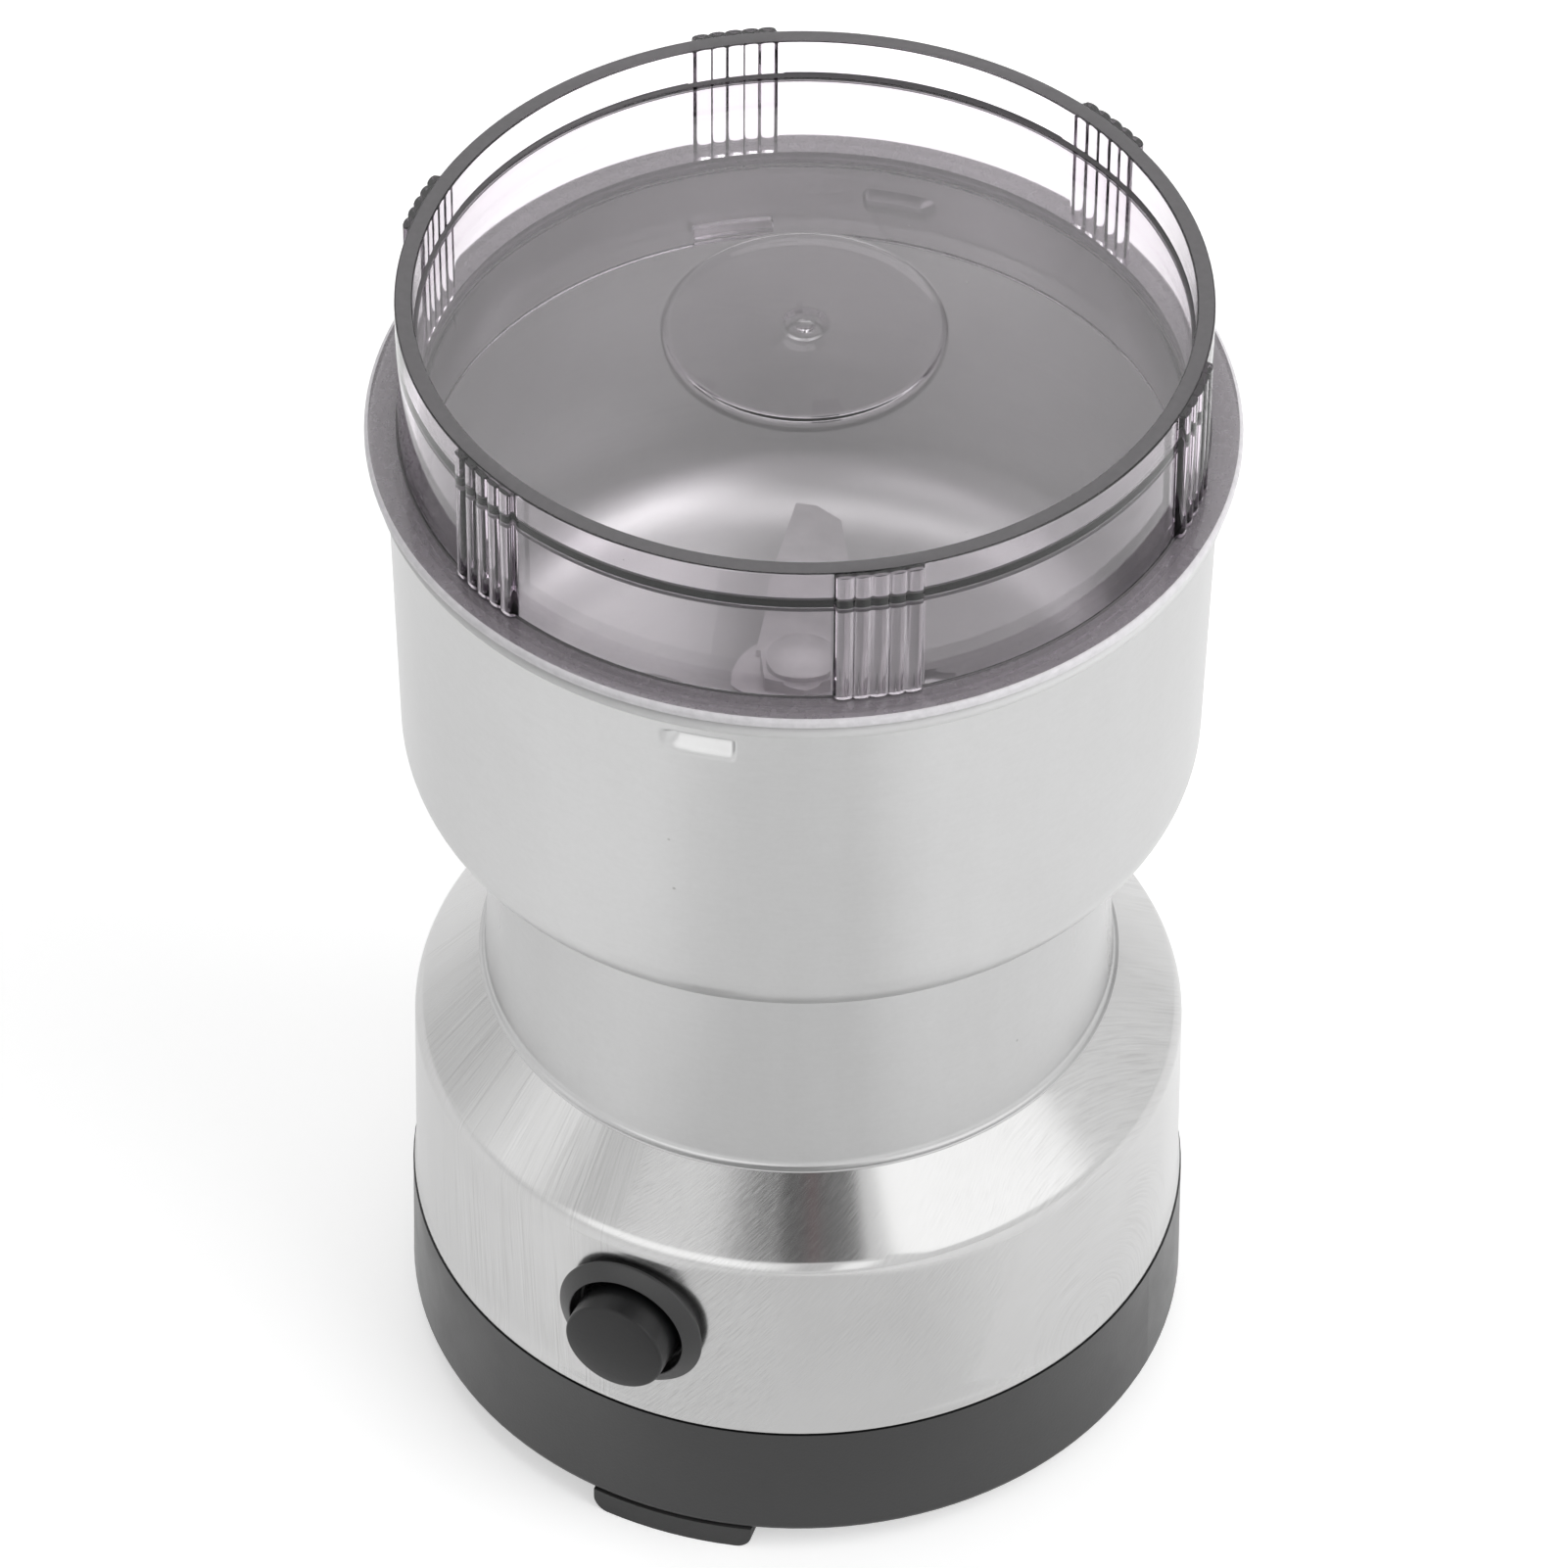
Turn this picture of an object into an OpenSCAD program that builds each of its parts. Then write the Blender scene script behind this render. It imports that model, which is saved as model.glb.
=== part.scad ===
// Electric spice grinder: a brushed steel bowl, neck and base shell on a dark plastic base pan,
// a clear twist-off lid, a press-and-hold button, and a motor that turns a two-winged blade.
// Millimetres. The origin is on the table under the middle of the object, +Z is up, and the
// button faces -Y.

/* [Stack heights] */
// Height of the foot pads below the base pan
foot_h = 3.2; // [2.4:0.1:5]
// Height of the dark base pan's outer wall
pan_h = 17.2; // [14:0.1:24]
// Height of the steel base shell, from the pan up to its crest
shell_h = 30.1; // [27:0.1:40]
// Height of the sloping shoulder, from the crest up to the neck
shoulder_h = 6.7; // [5:0.1:14]
// Height of the neck, from the shoulder up to the underside of the bowl
neck_h = 30.8; // [29:0.1:48]
// Height of the bowl, from its underside to the top of its rolled rim
bowl_h = 53.9; // [44:0.1:75]
// Height of the lid above the bowl's rim, from its flange to its top edge
lid_h = 20.2; // [14:0.1:32]

/* [Base] */
// How far the base pan stands out from the steel shell
pan_step = 0.7; // [0.4:0.1:2]
// How much narrower the base pan is at its top edge
pan_draft = 0.25; // [0.1:0.05:1]
// Wall thickness of the base pan
pan_wall = 2.2; // [1.6:0.1:3]
// Radius of the rounded edge under the base pan
pan_edge_r = 1; // [0.4:0.1:2]
// Height of the inner lip that centres the steel shell on the pan
pan_lip_h = 4; // [2:0.1:6]
// Outside radius of the steel base shell
shell_r = 47.3; // [46:0.1:54]
// Sheet thickness of the steel shell, neck and bowl
sheet_t = 0.6; // [0.4:0.05:1]
// Radius of the bend at the crest of the base shell
crest_r = 4; // [1:0.1:6]
// Width of one foot pad along the rim
foot_w = 20.4; // [12:0.1:30]
// Radial depth of a foot pad
foot_depth = 7; // [5:0.1:10]
// Direction of the first foot pad, in degrees from the button
foot_az = 6; // [0:0.2:30]
// Number of foot pads
foot_count = 3; // [3:1:4]

/* [Neck and bowl] */
// Outside radius of the neck where it meets the shoulder
neck_r = 38.2; // [37.6:0.1:42]
// How much narrower the neck is under the bowl
neck_taper = 1.4; // [0.4:0.1:1.8]
// How far the foot of the neck flares out over the shoulder
neck_foot_out = 0.8; // [0.3:0.1:1.5]
// Height of the flare at the foot of the neck
neck_foot_h = 1.6; // [1:0.1:4]
// Outside radius of the bowl above its rounded bottom
bowl_r = 47.6; // [45:0.1:54]
// How much wider the bowl is just under its rim
bowl_flare = 0.9; // [0.3:0.1:2]
// Width of the rounding at the bottom of the bowl
bowl_round_w = 13.4; // [9:0.1:14]
// Height of the rounding at the bottom of the bowl
bowl_round_h = 10.3; // [7:0.1:16]
// Radius of the rolled bead around the bowl's rim
bead_r = 1.25; // [0.6:0.05:1.6]
// Depth that the two lock dimples are pressed into the bowl
dimple_depth = 1.2; // [0.8:0.1:1.6]
// Length of a lock dimple around the bowl
dimple_w = 8.6; // [5:0.1:12]
// Height of a lock dimple
dimple_h = 3; // [2:0.1:4]
// Depth of the lock dimples below the bowl's rim
dimple_drop = 6.6; // [6:0.1:8]
// Direction of the first lock dimple, in degrees from the button
dimple_az = 10.4; // [0:0.1:60]

/* [Lid] */
// How far the lid's upright wall stands inside the bowl's outer wall
lid_inset = 0.6; // [0.4:0.1:1.2]
// Wall thickness of the lid
lid_wall = 2.1; // [1.6:0.1:3]
// How far the lid's flange reaches past the bowl's rolled rim
flange_over = 0.5; // [0.2:0.1:2]
// Thickness of the flange at its edge
flange_t = 1.25; // [0.8:0.05:2]
// Depth of the lid's top disc below its top edge
disc_drop = 5.1; // [4.6:0.1:10]
// Thickness of the lid's top disc
disc_t = 1.2; // [1:0.1:3]
// Radius of the raised round plateau on the disc
plateau_r = 16.2; // [8:0.1:30]
// Height of the raised plateau
plateau_h = 0.5; // [0.3:0.05:1]
// Radius of the moulding gate's dish at the centre of the disc
gate_r = 2.65; // [2:0.05:4]
// Height of the lock lugs at the foot of the lid's skirt
lug_h = 1.7; // [1.2:0.1:2.5]
// Number of grip patches around the lid
grip_count = 6; // [3:1:8]
// Number of ribs in one grip patch
rib_count = 5; // [3:1:7]
// Distance from one grip rib to the next
rib_pitch = 1.95; // [1.5:0.05:2.4]
// Radius of one grip rib
rib_r = 0.85; // [0.5:0.05:1.1]
// Direction of the first grip patch, in degrees from the button
grip_az = 35.1; // [0:0.1:59]
// Thickness of the clear seal ring around the skirt, under the flange
seal_t = 0.6; // [0.4:0.05:1]

/* [Button] */
// Height of the button's centre above the base pan's top edge
button_rise = 15.6; // [13:0.1:20]
// Radius of the button's bezel
bezel_r = 9.45; // [9.2:0.05:11]
// Width of the bezel's ring
bezel_ring_w = 2.05; // [1.6:0.05:2.5]
// How far the bezel's inner lip stands out past its edge
bezel_lip = 1.2; // [0.4:0.1:2]
// How far the bezel stands out from the steel shell
bezel_proud = 0.7; // [0.4:0.1:3]
// Radius of the push cap
cap_r = 6.4; // [5:0.1:6.6]
// How far the cap stands out from the bezel
cap_proud = 4.6; // [4.3:0.1:7]
// Travel of the cap when it is pressed
cap_travel = 3; // [2:0.1:3.5]

/* [Blade] */
// Direction of the first blade wing at rest, in degrees from the button
blade_az = 24; // [0:1:179]
// Reach of each blade wing from the shaft's centre
blade_reach = 33; // [24:0.5:38]
// Thickness of the blade
blade_t = 1.2; // [0.8:0.1:2]
// Width of a blade wing at its root
blade_w = 12; // [8:0.5:14]
// Bend of the wings out of the flat, in degrees
blade_bend = 14; // [4:1:18]

/* [Motor] */
// Radius of the motor shaft
shaft_r = 3; // [2:0.1:4]
// Outside radius of the stator stack
stator_r = 29; // [28:0.1:31]
// Height of the stator and armature stacks
stack_h = 20; // [14:0.5:22]
// Radius of the armature stack
armature_r = 15.9; // [14:0.1:16.5]
// Number of slots in the armature and bars in the commutator
slot_count = 12; // [8:1:16]
// Number of fan blades
fan_blades = 9; // [6:1:13]

/* [Clearances] */
// Radial clearance of the shaft and of the cap in their bores
fit_gap = 0.03; // [0.02:0.01:0.08]
// Clearance between pieces that are assembled and stay still
seat_gap = 0.05; // [0.03:0.01:0.15]
// Clearance between pieces that move past each other
run_gap = 0.35; // [0.25:0.05:0.5]

/* [Hidden] */

// Overrun of every cut past the faces that it opens
over = 1;
$fn = 96;

// Heights of the stack, from the table up
pan_z0 = foot_h;
pan_z1 = pan_z0 + pan_h;
crest_z = pan_z1 + shell_h;
neck_z0 = crest_z + shoulder_h;
bowl_z0 = neck_z0 + neck_h;
rim_z = bowl_z0 + bowl_h;
seal_gap = 0.1;
flange_z0 = rim_z + seal_gap;
seal_z0 = flange_z0 - seal_gap - seal_t;
lid_z1 = flange_z0 + lid_h;
disc_z1 = lid_z1 - disc_drop;
disc_z0 = disc_z1 - disc_t;

// Base pan and feet
pan_r = shell_r + pan_step;
pan_top_r = pan_r - pan_draft;
pan_floor_t = 2.5;
pan_floor_z1 = pan_z0 + pan_floor_t;
lip_t = 1.6;
lip_gap = 0.2;
lip_r = shell_r - sheet_t - lip_gap;
lip_z1 = pan_z1 + pan_lip_h;
seam_gap = 0.2;
foot_plug_h = 1.2;
foot_plug_inset = 1.6;
foot_corner_r = 1.9;
vent_count = 7;
vent_w = 2.4;
vent_l = 22;
vent_pitch = 5.6;

// The screws that hold the frame on the pan sit on a circle
leg_count = 3;
leg_az = 60;
leg_r = 4;
leg_circle_r = 30;
screw_r = 1.6;
screw_head_r = 3.1;
screw_head_h = 2;
screw_bite = 9;
boss_h = 6;
recess_r = screw_head_r + run_gap;
recess_h = screw_head_h + run_gap;

// Cord inlet at the back of the pan
inlet_r = 3.2;
grommet_r = 4.8;
grommet_flange_r = 5.9;
grommet_flange_t = 1.6;
grommet_out_l = 5;
inlet_z = pan_z0 + pan_h / 2;

// Base shell outline
shell_draft = 0.3;
crest_x = shell_r - shell_draft - crest_r;
shell_lip_h = 1.6;
shell_lip_out = 0.25;
shell_z0 = pan_z1 + seam_gap;

// Neck sleeve and the plastic frame inside it
frame_gap = 0.6;
frame_r = neck_r - neck_taper - sheet_t - frame_gap;
frame_wall = 2.2;
frame_top_t = 3;
ledge_h = 2.4;
frame_z0 = lip_z1 + run_gap;
window_w = 16;
window_count = 4;
window_edge = 6;

// Bowl
bowl_floor_r = bowl_r - bowl_round_w;
bowl_floor_z1 = bowl_z0 + sheet_t;
bead_z = rim_z - bead_r;
bowl_screw_circle_r = 20;
bowl_screw_az = 30;
bowl_screw_count = 3;
bowl_screw_bite = 5;
bowl_screw_head_h = 1.4;
dimple_z = rim_z - dimple_drop;

// Lid skirt and its two lock lugs
skirt_gap = 0.35;
bowl_in_r = bowl_r + bowl_flare - sheet_t;
skirt_r = bowl_in_r - dimple_depth - skirt_gap;
skirt_t = 1.8;
lug_r = bowl_in_r - skirt_gap;
skirt_z0 = dimple_z - dimple_h / 2 - sheet_t - run_gap - lug_h;
lug_span = 12;
lug_turn = 25;
skirt_inner_r = skirt_r - skirt_t;
lid_r = bowl_r - lid_inset;
flange_r = bowl_in_r + 2 * bead_r + flange_over;
lid_inner_r = lid_r - lid_wall;
disc_round_r = 0.6;
rim_round_r = 0.35;
flange_slope = 0.1;
gate_depth = 0.35;
gate_pip_r = 0.9;
gate_pip_h = 0.3;
plateau_round_share = 0.5;

// Button and switch, on an axis that runs along Y
button_z = pan_z1 + button_rise;
bezel_y = -(shell_r + bezel_proud);
cap_y = bezel_y - cap_proud;
bezel_round_r = 0.4;
bezel_land_w = 0.3;
bezel_dish = 1.4;
barrel_wall = 2.2;
barrel_r = cap_r + barrel_wall;
guide_r = cap_r + fit_gap;
barrel_l = 12;
barrel_y1 = bezel_y + barrel_l;
barrel_floor_t = 1.6;
barrel_floor_y = barrel_y1 - barrel_floor_t;
cap_wall = 1.1;
cap_front_t = 1.8;
cap_dome_h = 0.45;
cap_edge_r = 0.4;
cap_guide_l = 2.6;
cap_l = cap_proud + bezel_dish + cap_guide_l;
stem_r = 1.5;
bridge_r = 3.6;
bridge_t = 0.8;
bridge_gap = 0.4;
nut_wall = 2.7;
nut_r = barrel_r + nut_wall;
nut_t = 2.6;
terminal_w = 3.2;
terminal_t = 0.8;
terminal_tail = 2.2;
terminal_x = 5.2;
spring_wire_r = 0.3;
spring_r = 3.6;
spring_turns = 5;

// Motor stack, hung from the frame's top plate
plate_z1 = bowl_z0 - frame_top_t;
bracket_t = 2;
bracket_z0 = plate_z1 - bracket_t;
bracket_r = 26.5;
bearing_r = 6;
bearing_h = 5;
boss_wall = 2;
boss_r = bearing_r + boss_wall;
boss_z1 = bowl_z0 - run_gap;
upper_bearing_z0 = boss_z1 - bearing_h;
fan_r = 15.8;
fan_h = 4.2;
fan_hub_r = 6;
fan_plate_t = 1;
fan_blade_t = 1.2;
fan_blade_l = 7;
fan_z0 = upper_bearing_z0 - run_gap - fan_h;
coil_over = 5;
coil_gap = 0.8;
stack_z1 = fan_z0 - coil_gap - coil_over;
stack_z0 = stack_z1 - stack_h;
air_gap = 0.4;
shoe_t = 2.2;
shoe_angle = 50;
yoke_t = 5.4;
pole_w = 17;
coil_angle = 40;
coil_clear = 0.3;
motor_az = 45;
tie_circle_r = stator_r - yoke_t / 2;
tie_r = 1.5;
tie_head_r = 2.6;
tie_head_h = 1.6;
post_r = 2.7;

winding_over = 5;
winding_r = 14.8;
winding_in_r = 5.2;
commutator_r = 8;
commutator_h = 10;
commutator_z1 = stack_z0 - winding_over - run_gap;
commutator_z0 = commutator_z1 - commutator_h;
segment_gap_w = 0.5;
segment_depth = 1.2;
brush_h = 6;
brush_w = 5;
brush_l = 9;
holder_wall = 1;
holder_l = 15;
brush_z = commutator_z0 + commutator_h / 2;
holder_x0 = commutator_r + 2 * air_gap;
brush_spring_r = 1.9;
lower_plate_t = 2.4;
lower_bearing_h = 5;
lower_plate_z1 = commutator_z0 - run_gap - lower_bearing_h / 2;
lower_plate_z0 = lower_plate_z1 - lower_plate_t;
lower_bearing_z1 = commutator_z0 - run_gap;
lower_bearing_z0 = lower_bearing_z1 - lower_bearing_h;
lower_arm_w = 13;
slot_r = 1.5;
slot_mouth_w = 1.1;

// Shaft, collar, hub and blade inside the bowl
shaft_z0 = lower_bearing_z0 - 2 * run_gap;
collar_r = 11;
collar_top_r = 8;
collar_h = 4.4;
collar_neck_r = boss_r + run_gap - seat_gap;
collar_z1 = bowl_floor_z1 + collar_h;
seal_ring_r = 5.4;
seal_ring_h = 1.8;
hub_r = 6.6;
hub_foot_r = 8.2;
hub_h = 7.4;
hub_z0 = collar_z1 + run_gap;
blade_z0 = hub_z0 + hub_h;
blade_z1 = blade_z0 + blade_t;
blade_disc_r = 8.4;
nut_hex_r = 5.4;
nut_hex_h = 3;
nut_dome_r = 4.2;
nut_dome_h = 2.2;
shaft_top_h = nut_hex_h + nut_dome_h / 2;
wing_tip_share = 0.42;
wing_sweep_share = 0.3;
wing_pitch = 7;

steel = "#c9cacc";
dark = "#4a4b4e";
clear_tint = [0.80, 0.79, 0.83, 0.35];
brass = "#c5a25a";
copper = "#b4653a";
iron = "#8d9096";
nylon = "#e8e6df";

// Points on an arc or an oval about [cx, cz], from angle a0 to a1
function oval(cx, cz, rx, rz, a0, a1, n = 20) =
    [for (i = [0:n]) [cx + rx * cos(a0 + (a1 - a0) * i / n), cz + rz * sin(a0 + (a1 - a0) * i / n)]];

// Outside radius of the sloping neck at a height
function neck_r_at(z) = neck_r - neck_taper * (z - neck_z0) / neck_h;

// Height of the bowl's rounded underside at a radius
function bowl_under_z(r) =
    bowl_z0 + bowl_round_h * (1 - sqrt(1 - pow(max(0, r - bowl_floor_r) / bowl_round_w, 2)));

// A shape turned from an outline of points
module turned(points) {
    rotate_extrude()
        polygon(points);
}

// A plain ring
module ring(z0, z1, r_out, r_in) {
    translate([0, 0, z0])
        linear_extrude(z1 - z0)
            difference() {
                circle(r_out);
                circle(r_in);
            }
}

// Children placed on a circle, turned from the button's side
module around(count, az0, radius) {
    for (i = [0:count - 1])
        rotate([0, 0, az0 + i * 360 / count])
            translate([0, -radius, 0])
                children();
}

// A cylinder along the button's axis, from y0 to y1
module along_y(r, y0, y1) {
    translate([0, y0, button_z])
        rotate([-90, 0, 0])
            cylinder(r = r, h = y1 - y0);
}

// A round wire wound into a helix about Z, from z = 0 up to h
module helix_spring(radius, wire_r, h, turns) {
    sides = 6;
    rings = 8 * turns;
    rise = (h - 2 * wire_r) / rings;
    slope = atan2(rise, 2 * PI * radius * turns / rings);
    points = [
        for (i = [0:rings])
            for (j = [0:sides - 1])
                let (a = 360 * turns * i / rings, b = 360 * j / sides,
                     dr = wire_r * cos(b), dz = wire_r * sin(b))
                    [(radius + dr) * cos(a) + dz * sin(slope) * sin(a),
                     (radius + dr) * sin(a) - dz * sin(slope) * cos(a),
                     wire_r + rise * i + dz * cos(slope)]
    ];
    walls = [
        for (i = [0:rings - 1])
            for (j = [0:sides - 1])
                let (k = (j + 1) % sides, low = i * sides, high = (i + 1) * sides)
                    each [[low + j, high + j, high + k], [low + j, high + k, low + k]]
    ];
    first = [for (j = [1:sides - 2]) [0, j, j + 1]];
    last = [for (j = [1:sides - 2]) [rings * sides, rings * sides + j + 1, rings * sides + j]];
    polyhedron(points = points, faces = concat(walls, first, last));
}

// The outline of one foot pad, seen from outside, with rounded lower corners
module foot_face(w, h, corner) {
    translate([-w / 2 + corner, 0])
        square([w - 2 * corner, h]);
    translate([-w / 2, corner])
        square([w, h - corner]);
    for (side = [-1, 1])
        translate([side * (w / 2 - corner), corner])
            circle(corner);
}

module foot_pads() {
    color(dark)
        around(foot_count, foot_az, 0) {
            intersection() {
                ring(0, foot_h, pan_r, pan_r - foot_depth);
                rotate([90, 0, 0])
                    linear_extrude(pan_r + over)
                        foot_face(foot_w, foot_h, foot_corner_r);
            }
            intersection() {
                foot_plug(0);
                ring(foot_h, foot_h + foot_plug_h, pan_r, 0);
            }
        }
}

// The plug on top of a foot pad, and with a clearance, its pocket in the pan
module foot_plug(gap) {
    translate([-foot_w / 2 + foot_plug_inset - gap, -pan_r + foot_plug_inset + pan_edge_r - gap, 0])
        cube([
            foot_w - 2 * (foot_plug_inset - gap),
            foot_depth - 2 * foot_plug_inset - pan_edge_r + 2 * gap,
            foot_h + foot_plug_h + gap
        ]);
}

module base_pan() {
    color(dark)
        difference() {
            union() {
                turned(concat(
                    [[0, pan_z0], [pan_r - pan_edge_r, pan_z0]],
                    oval(pan_r - pan_edge_r, pan_z0 + pan_edge_r, pan_edge_r, pan_edge_r, -90, 0, 6),
                    [
                        [pan_top_r, pan_z1], [lip_r, pan_z1], [lip_r, lip_z1], [lip_r - lip_t, lip_z1],
                        [lip_r - lip_t, pan_z1 - lip_t], [pan_r - pan_wall - pan_draft, pan_z1 - 2 * lip_t],
                        [pan_r - pan_wall, pan_floor_z1], [0, pan_floor_z1]
                    ]
                ));
                around(leg_count, leg_az, leg_circle_r)
                    translate([0, 0, pan_z0])
                        cylinder(r = leg_r, h = pan_floor_t + boss_h);
            }
            around(foot_count, foot_az, 0)
                foot_plug(seat_gap);
            around(leg_count, leg_az, leg_circle_r) {
                translate([0, 0, pan_z0 - over])
                    cylinder(r = screw_r + seat_gap, h = pan_floor_t + boss_h + 2 * over);
                translate([0, 0, pan_z0 - over])
                    cylinder(r = recess_r, h = recess_h + over);
            }
            vents();
            translate([0, pan_r + over, inlet_z])
                rotate([90, 0, 0])
                    cylinder(r = grommet_r + seat_gap, h = 2 * pan_wall + 2 * over);
        }
}

// Air slots in the middle of the pan's floor
module vents() {
    for (i = [0:vent_count - 1])
        translate([-vent_l / 2, (i - (vent_count - 1) / 2) * vent_pitch - vent_w / 2, pan_z0 - over])
            cube([vent_l, vent_w, pan_floor_t + 2 * over]);
}

module base_screws() {
    color(iron)
        around(leg_count, leg_az, leg_circle_r) {
            translate([0, 0, pan_z0 + recess_h - screw_head_h])
                cylinder(r = screw_head_r, h = screw_head_h);
            translate([0, 0, pan_z0 + recess_h])
                cylinder(r = screw_r, h = pan_floor_t + boss_h - recess_h + screw_bite);
        }
}

module cord_grommet() {
    inner_z = pan_wall + pan_draft + sagitta(pan_r - pan_wall, grommet_flange_r);
    color(dark)
        translate([0, pan_r, inlet_z])
            rotate([90, 0, 0])
                difference() {
                    union() {
                        translate([0, 0, -grommet_out_l])
                            cylinder(r1 = grommet_r, r2 = grommet_flange_r, h = grommet_out_l - pan_draft);
                        translate([0, 0, -grommet_out_l])
                            cylinder(r = grommet_r, h = grommet_out_l + inner_z + grommet_flange_t);
                        translate([0, 0, inner_z])
                            cylinder(r = grommet_flange_r, h = grommet_flange_t);
                    }
                    translate([0, 0, -grommet_out_l - over])
                        cylinder(r = inlet_r, h = grommet_out_l + inner_z + grommet_flange_t + 2 * over);
                }
}

// How far a circle's edge falls back over half a chord
function sagitta(r, half) = r - sqrt(r * r - half * half);

// Angle on a circle at the origin where the line to [x, z] leaves it
function tangent_angle(r, x, z) = atan2(z, x) - acos(r / norm([x, z]));

// Outside of the base shell, from the bottom edge up to the hole for the neck
function shell_outline(t, hole_r) = concat(
    [
        [shell_r + shell_lip_out - t, shell_z0], [shell_r + shell_lip_out - t, shell_z0 + shell_lip_h / 2],
        [shell_r - t, shell_z0 + shell_lip_h]
    ],
    oval(crest_x, crest_z - crest_r, crest_r - t, crest_r - t, 0,
        tangent_angle(crest_r, hole_r - crest_x, neck_z0 - crest_z + crest_r), 10),
    [[hole_r, neck_z0 - t]]
);

module base_shell() {
    hole_r = neck_r_at(neck_z0) + seat_gap;
    outside = shell_outline(0, hole_r);
    inside = shell_outline(sheet_t, hole_r);
    count = len(inside);
    color(steel)
        difference() {
            turned(concat(outside, [for (i = [1:count]) inside[count - i]]));
            along_y(barrel_r + seat_gap, -shell_r - over, 0);
        }
}

module neck_sleeve() {
    top_r = neck_r_at(bowl_z0);
    top_z = bowl_under_z(top_r - sheet_t) - seat_gap;
    low_z = neck_z0 - 2 * sheet_t;
    foot_z = neck_z0 + seat_gap;
    foot_z1 = foot_z + neck_foot_h;
    color(steel)
        turned([
            [neck_r, low_z], [neck_r, foot_z], [neck_r + neck_foot_out, foot_z],
            [neck_r + neck_foot_out, foot_z + sheet_t / 2], [neck_r_at(foot_z1), foot_z1],
            [top_r, top_z], [top_r - sheet_t, top_z], [neck_r - sheet_t, neck_z0],
            [neck_r - sheet_t, low_z]
        ]);
}

module motor_frame() {
    ledge_z1 = neck_z0 - 2 * sheet_t - seat_gap;
    color(nylon)
        difference() {
            union() {
                ring(frame_z0, bowl_z0, frame_r, frame_r - frame_wall);
                ring(plate_z1, bowl_z0, frame_r, boss_r + run_gap);
                ring(ledge_z1 - ledge_h, ledge_z1, neck_r - seat_gap, frame_r - frame_wall);
                around(leg_count, leg_az, leg_circle_r)
                    translate([0, 0, pan_floor_z1 + boss_h])
                        cylinder(r = leg_r, h = frame_z0 + ledge_h - pan_floor_z1 - boss_h);
                ring(frame_z0, frame_z0 + ledge_h, frame_r, leg_circle_r - leg_r);
            }
            around(leg_count, leg_az, leg_circle_r)
                translate([0, 0, pan_floor_z1 + boss_h - over])
                    cylinder(r = screw_r + seat_gap, h = screw_bite + 2 * over);
            around(bowl_screw_count, bowl_screw_az, bowl_screw_circle_r)
                translate([0, 0, plate_z1 - over])
                    cylinder(r = screw_r + seat_gap, h = frame_top_t + 2 * over);
            around(window_count, 180 / window_count, 0)
                translate([-window_w / 2, -neck_r - over, frame_z0 + ledge_h + window_edge])
                    cube([window_w, neck_r, ledge_z1 - ledge_h - frame_z0 - ledge_h - 2 * window_edge]);
            around(window_count, 180 / window_count, 0)
                translate([-window_w / 2, -neck_r - over, ledge_z1 + window_edge])
                    cube([window_w, neck_r, plate_z1 - ledge_z1 - 2 * window_edge]);
            switch_room();
        }
}

// The room that the frame leaves for the switch behind the button
module switch_room() {
    half = nut_r + 2 * run_gap;
    translate([-half, -neck_r - over, frame_z0 - over])
        cube([2 * half, frame_r / 2, button_z + half - frame_z0 + over]);
}

// The bowl's wall as an outline, at a depth inside its outer surface
function bowl_outline(t, hole_r) = concat(
    [[hole_r, bowl_z0 + t]],
    oval(bowl_floor_r, bowl_z0 + bowl_round_h, bowl_round_w - t, bowl_round_h - t, -90, 0, 18),
    [[bowl_r + bowl_flare - t, bead_z]]
);

module bowl() {
    outside = bowl_outline(0, collar_neck_r + seat_gap);
    inside = bowl_outline(sheet_t, collar_neck_r + seat_gap);
    count = len(inside);
    color(steel)
        difference() {
            union() {
                rotate_extrude() {
                    polygon(concat(outside, [for (i = [1:count]) inside[count - i]]));
                    translate([bowl_r + bowl_flare - sheet_t + bead_r, bead_z])
                        circle(bead_r, $fn = 32);
                }
                around(2, dimple_az, 0)
                    dimple_block(sheet_t);
            }
            around(2, dimple_az, 0)
                dimple_block(0);
            around(bowl_screw_count, bowl_screw_az, bowl_screw_circle_r)
                translate([0, 0, bowl_z0 - over])
                    cylinder(r = screw_r + seat_gap, h = sheet_t + 2 * over);
        }
}

// One lock dimple: the dent's own shape, and with a thickness, the metal around it
module dimple_block(t) {
    r_in = bowl_in_r - dimple_depth + sheet_t - t;
    intersection() {
        ring(dimple_z - dimple_h, dimple_z + dimple_h, bowl_in_r + (t > 0 ? 0 : over), r_in);
        translate([0, -bowl_r, dimple_z])
            rotate([90, 0, 0])
                for (side = [-1, 0, 1])
                    translate([side * (dimple_w - dimple_h) / 2, 0, -dimple_w])
                        linear_extrude(2 * dimple_w)
                            if (side == 0)
                                square([dimple_w - dimple_h, dimple_h + 2 * t], center = true);
                            else
                                circle(dimple_h / 2 + t);
    }
}

module bowl_screws() {
    color(steel)
        around(bowl_screw_count, bowl_screw_az, bowl_screw_circle_r) {
            translate([0, 0, bowl_floor_z1 - frame_top_t - sheet_t - bowl_screw_bite])
                cylinder(r = screw_r, h = frame_top_t + sheet_t + bowl_screw_bite);
            translate([0, 0, bowl_floor_z1])
                intersection() {
                    cylinder(r = screw_head_r, h = bowl_screw_head_h);
                    translate([0, 0, bowl_screw_head_h - 2 * screw_head_r])
                        sphere(2 * screw_head_r);
                }
        }
}

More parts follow.
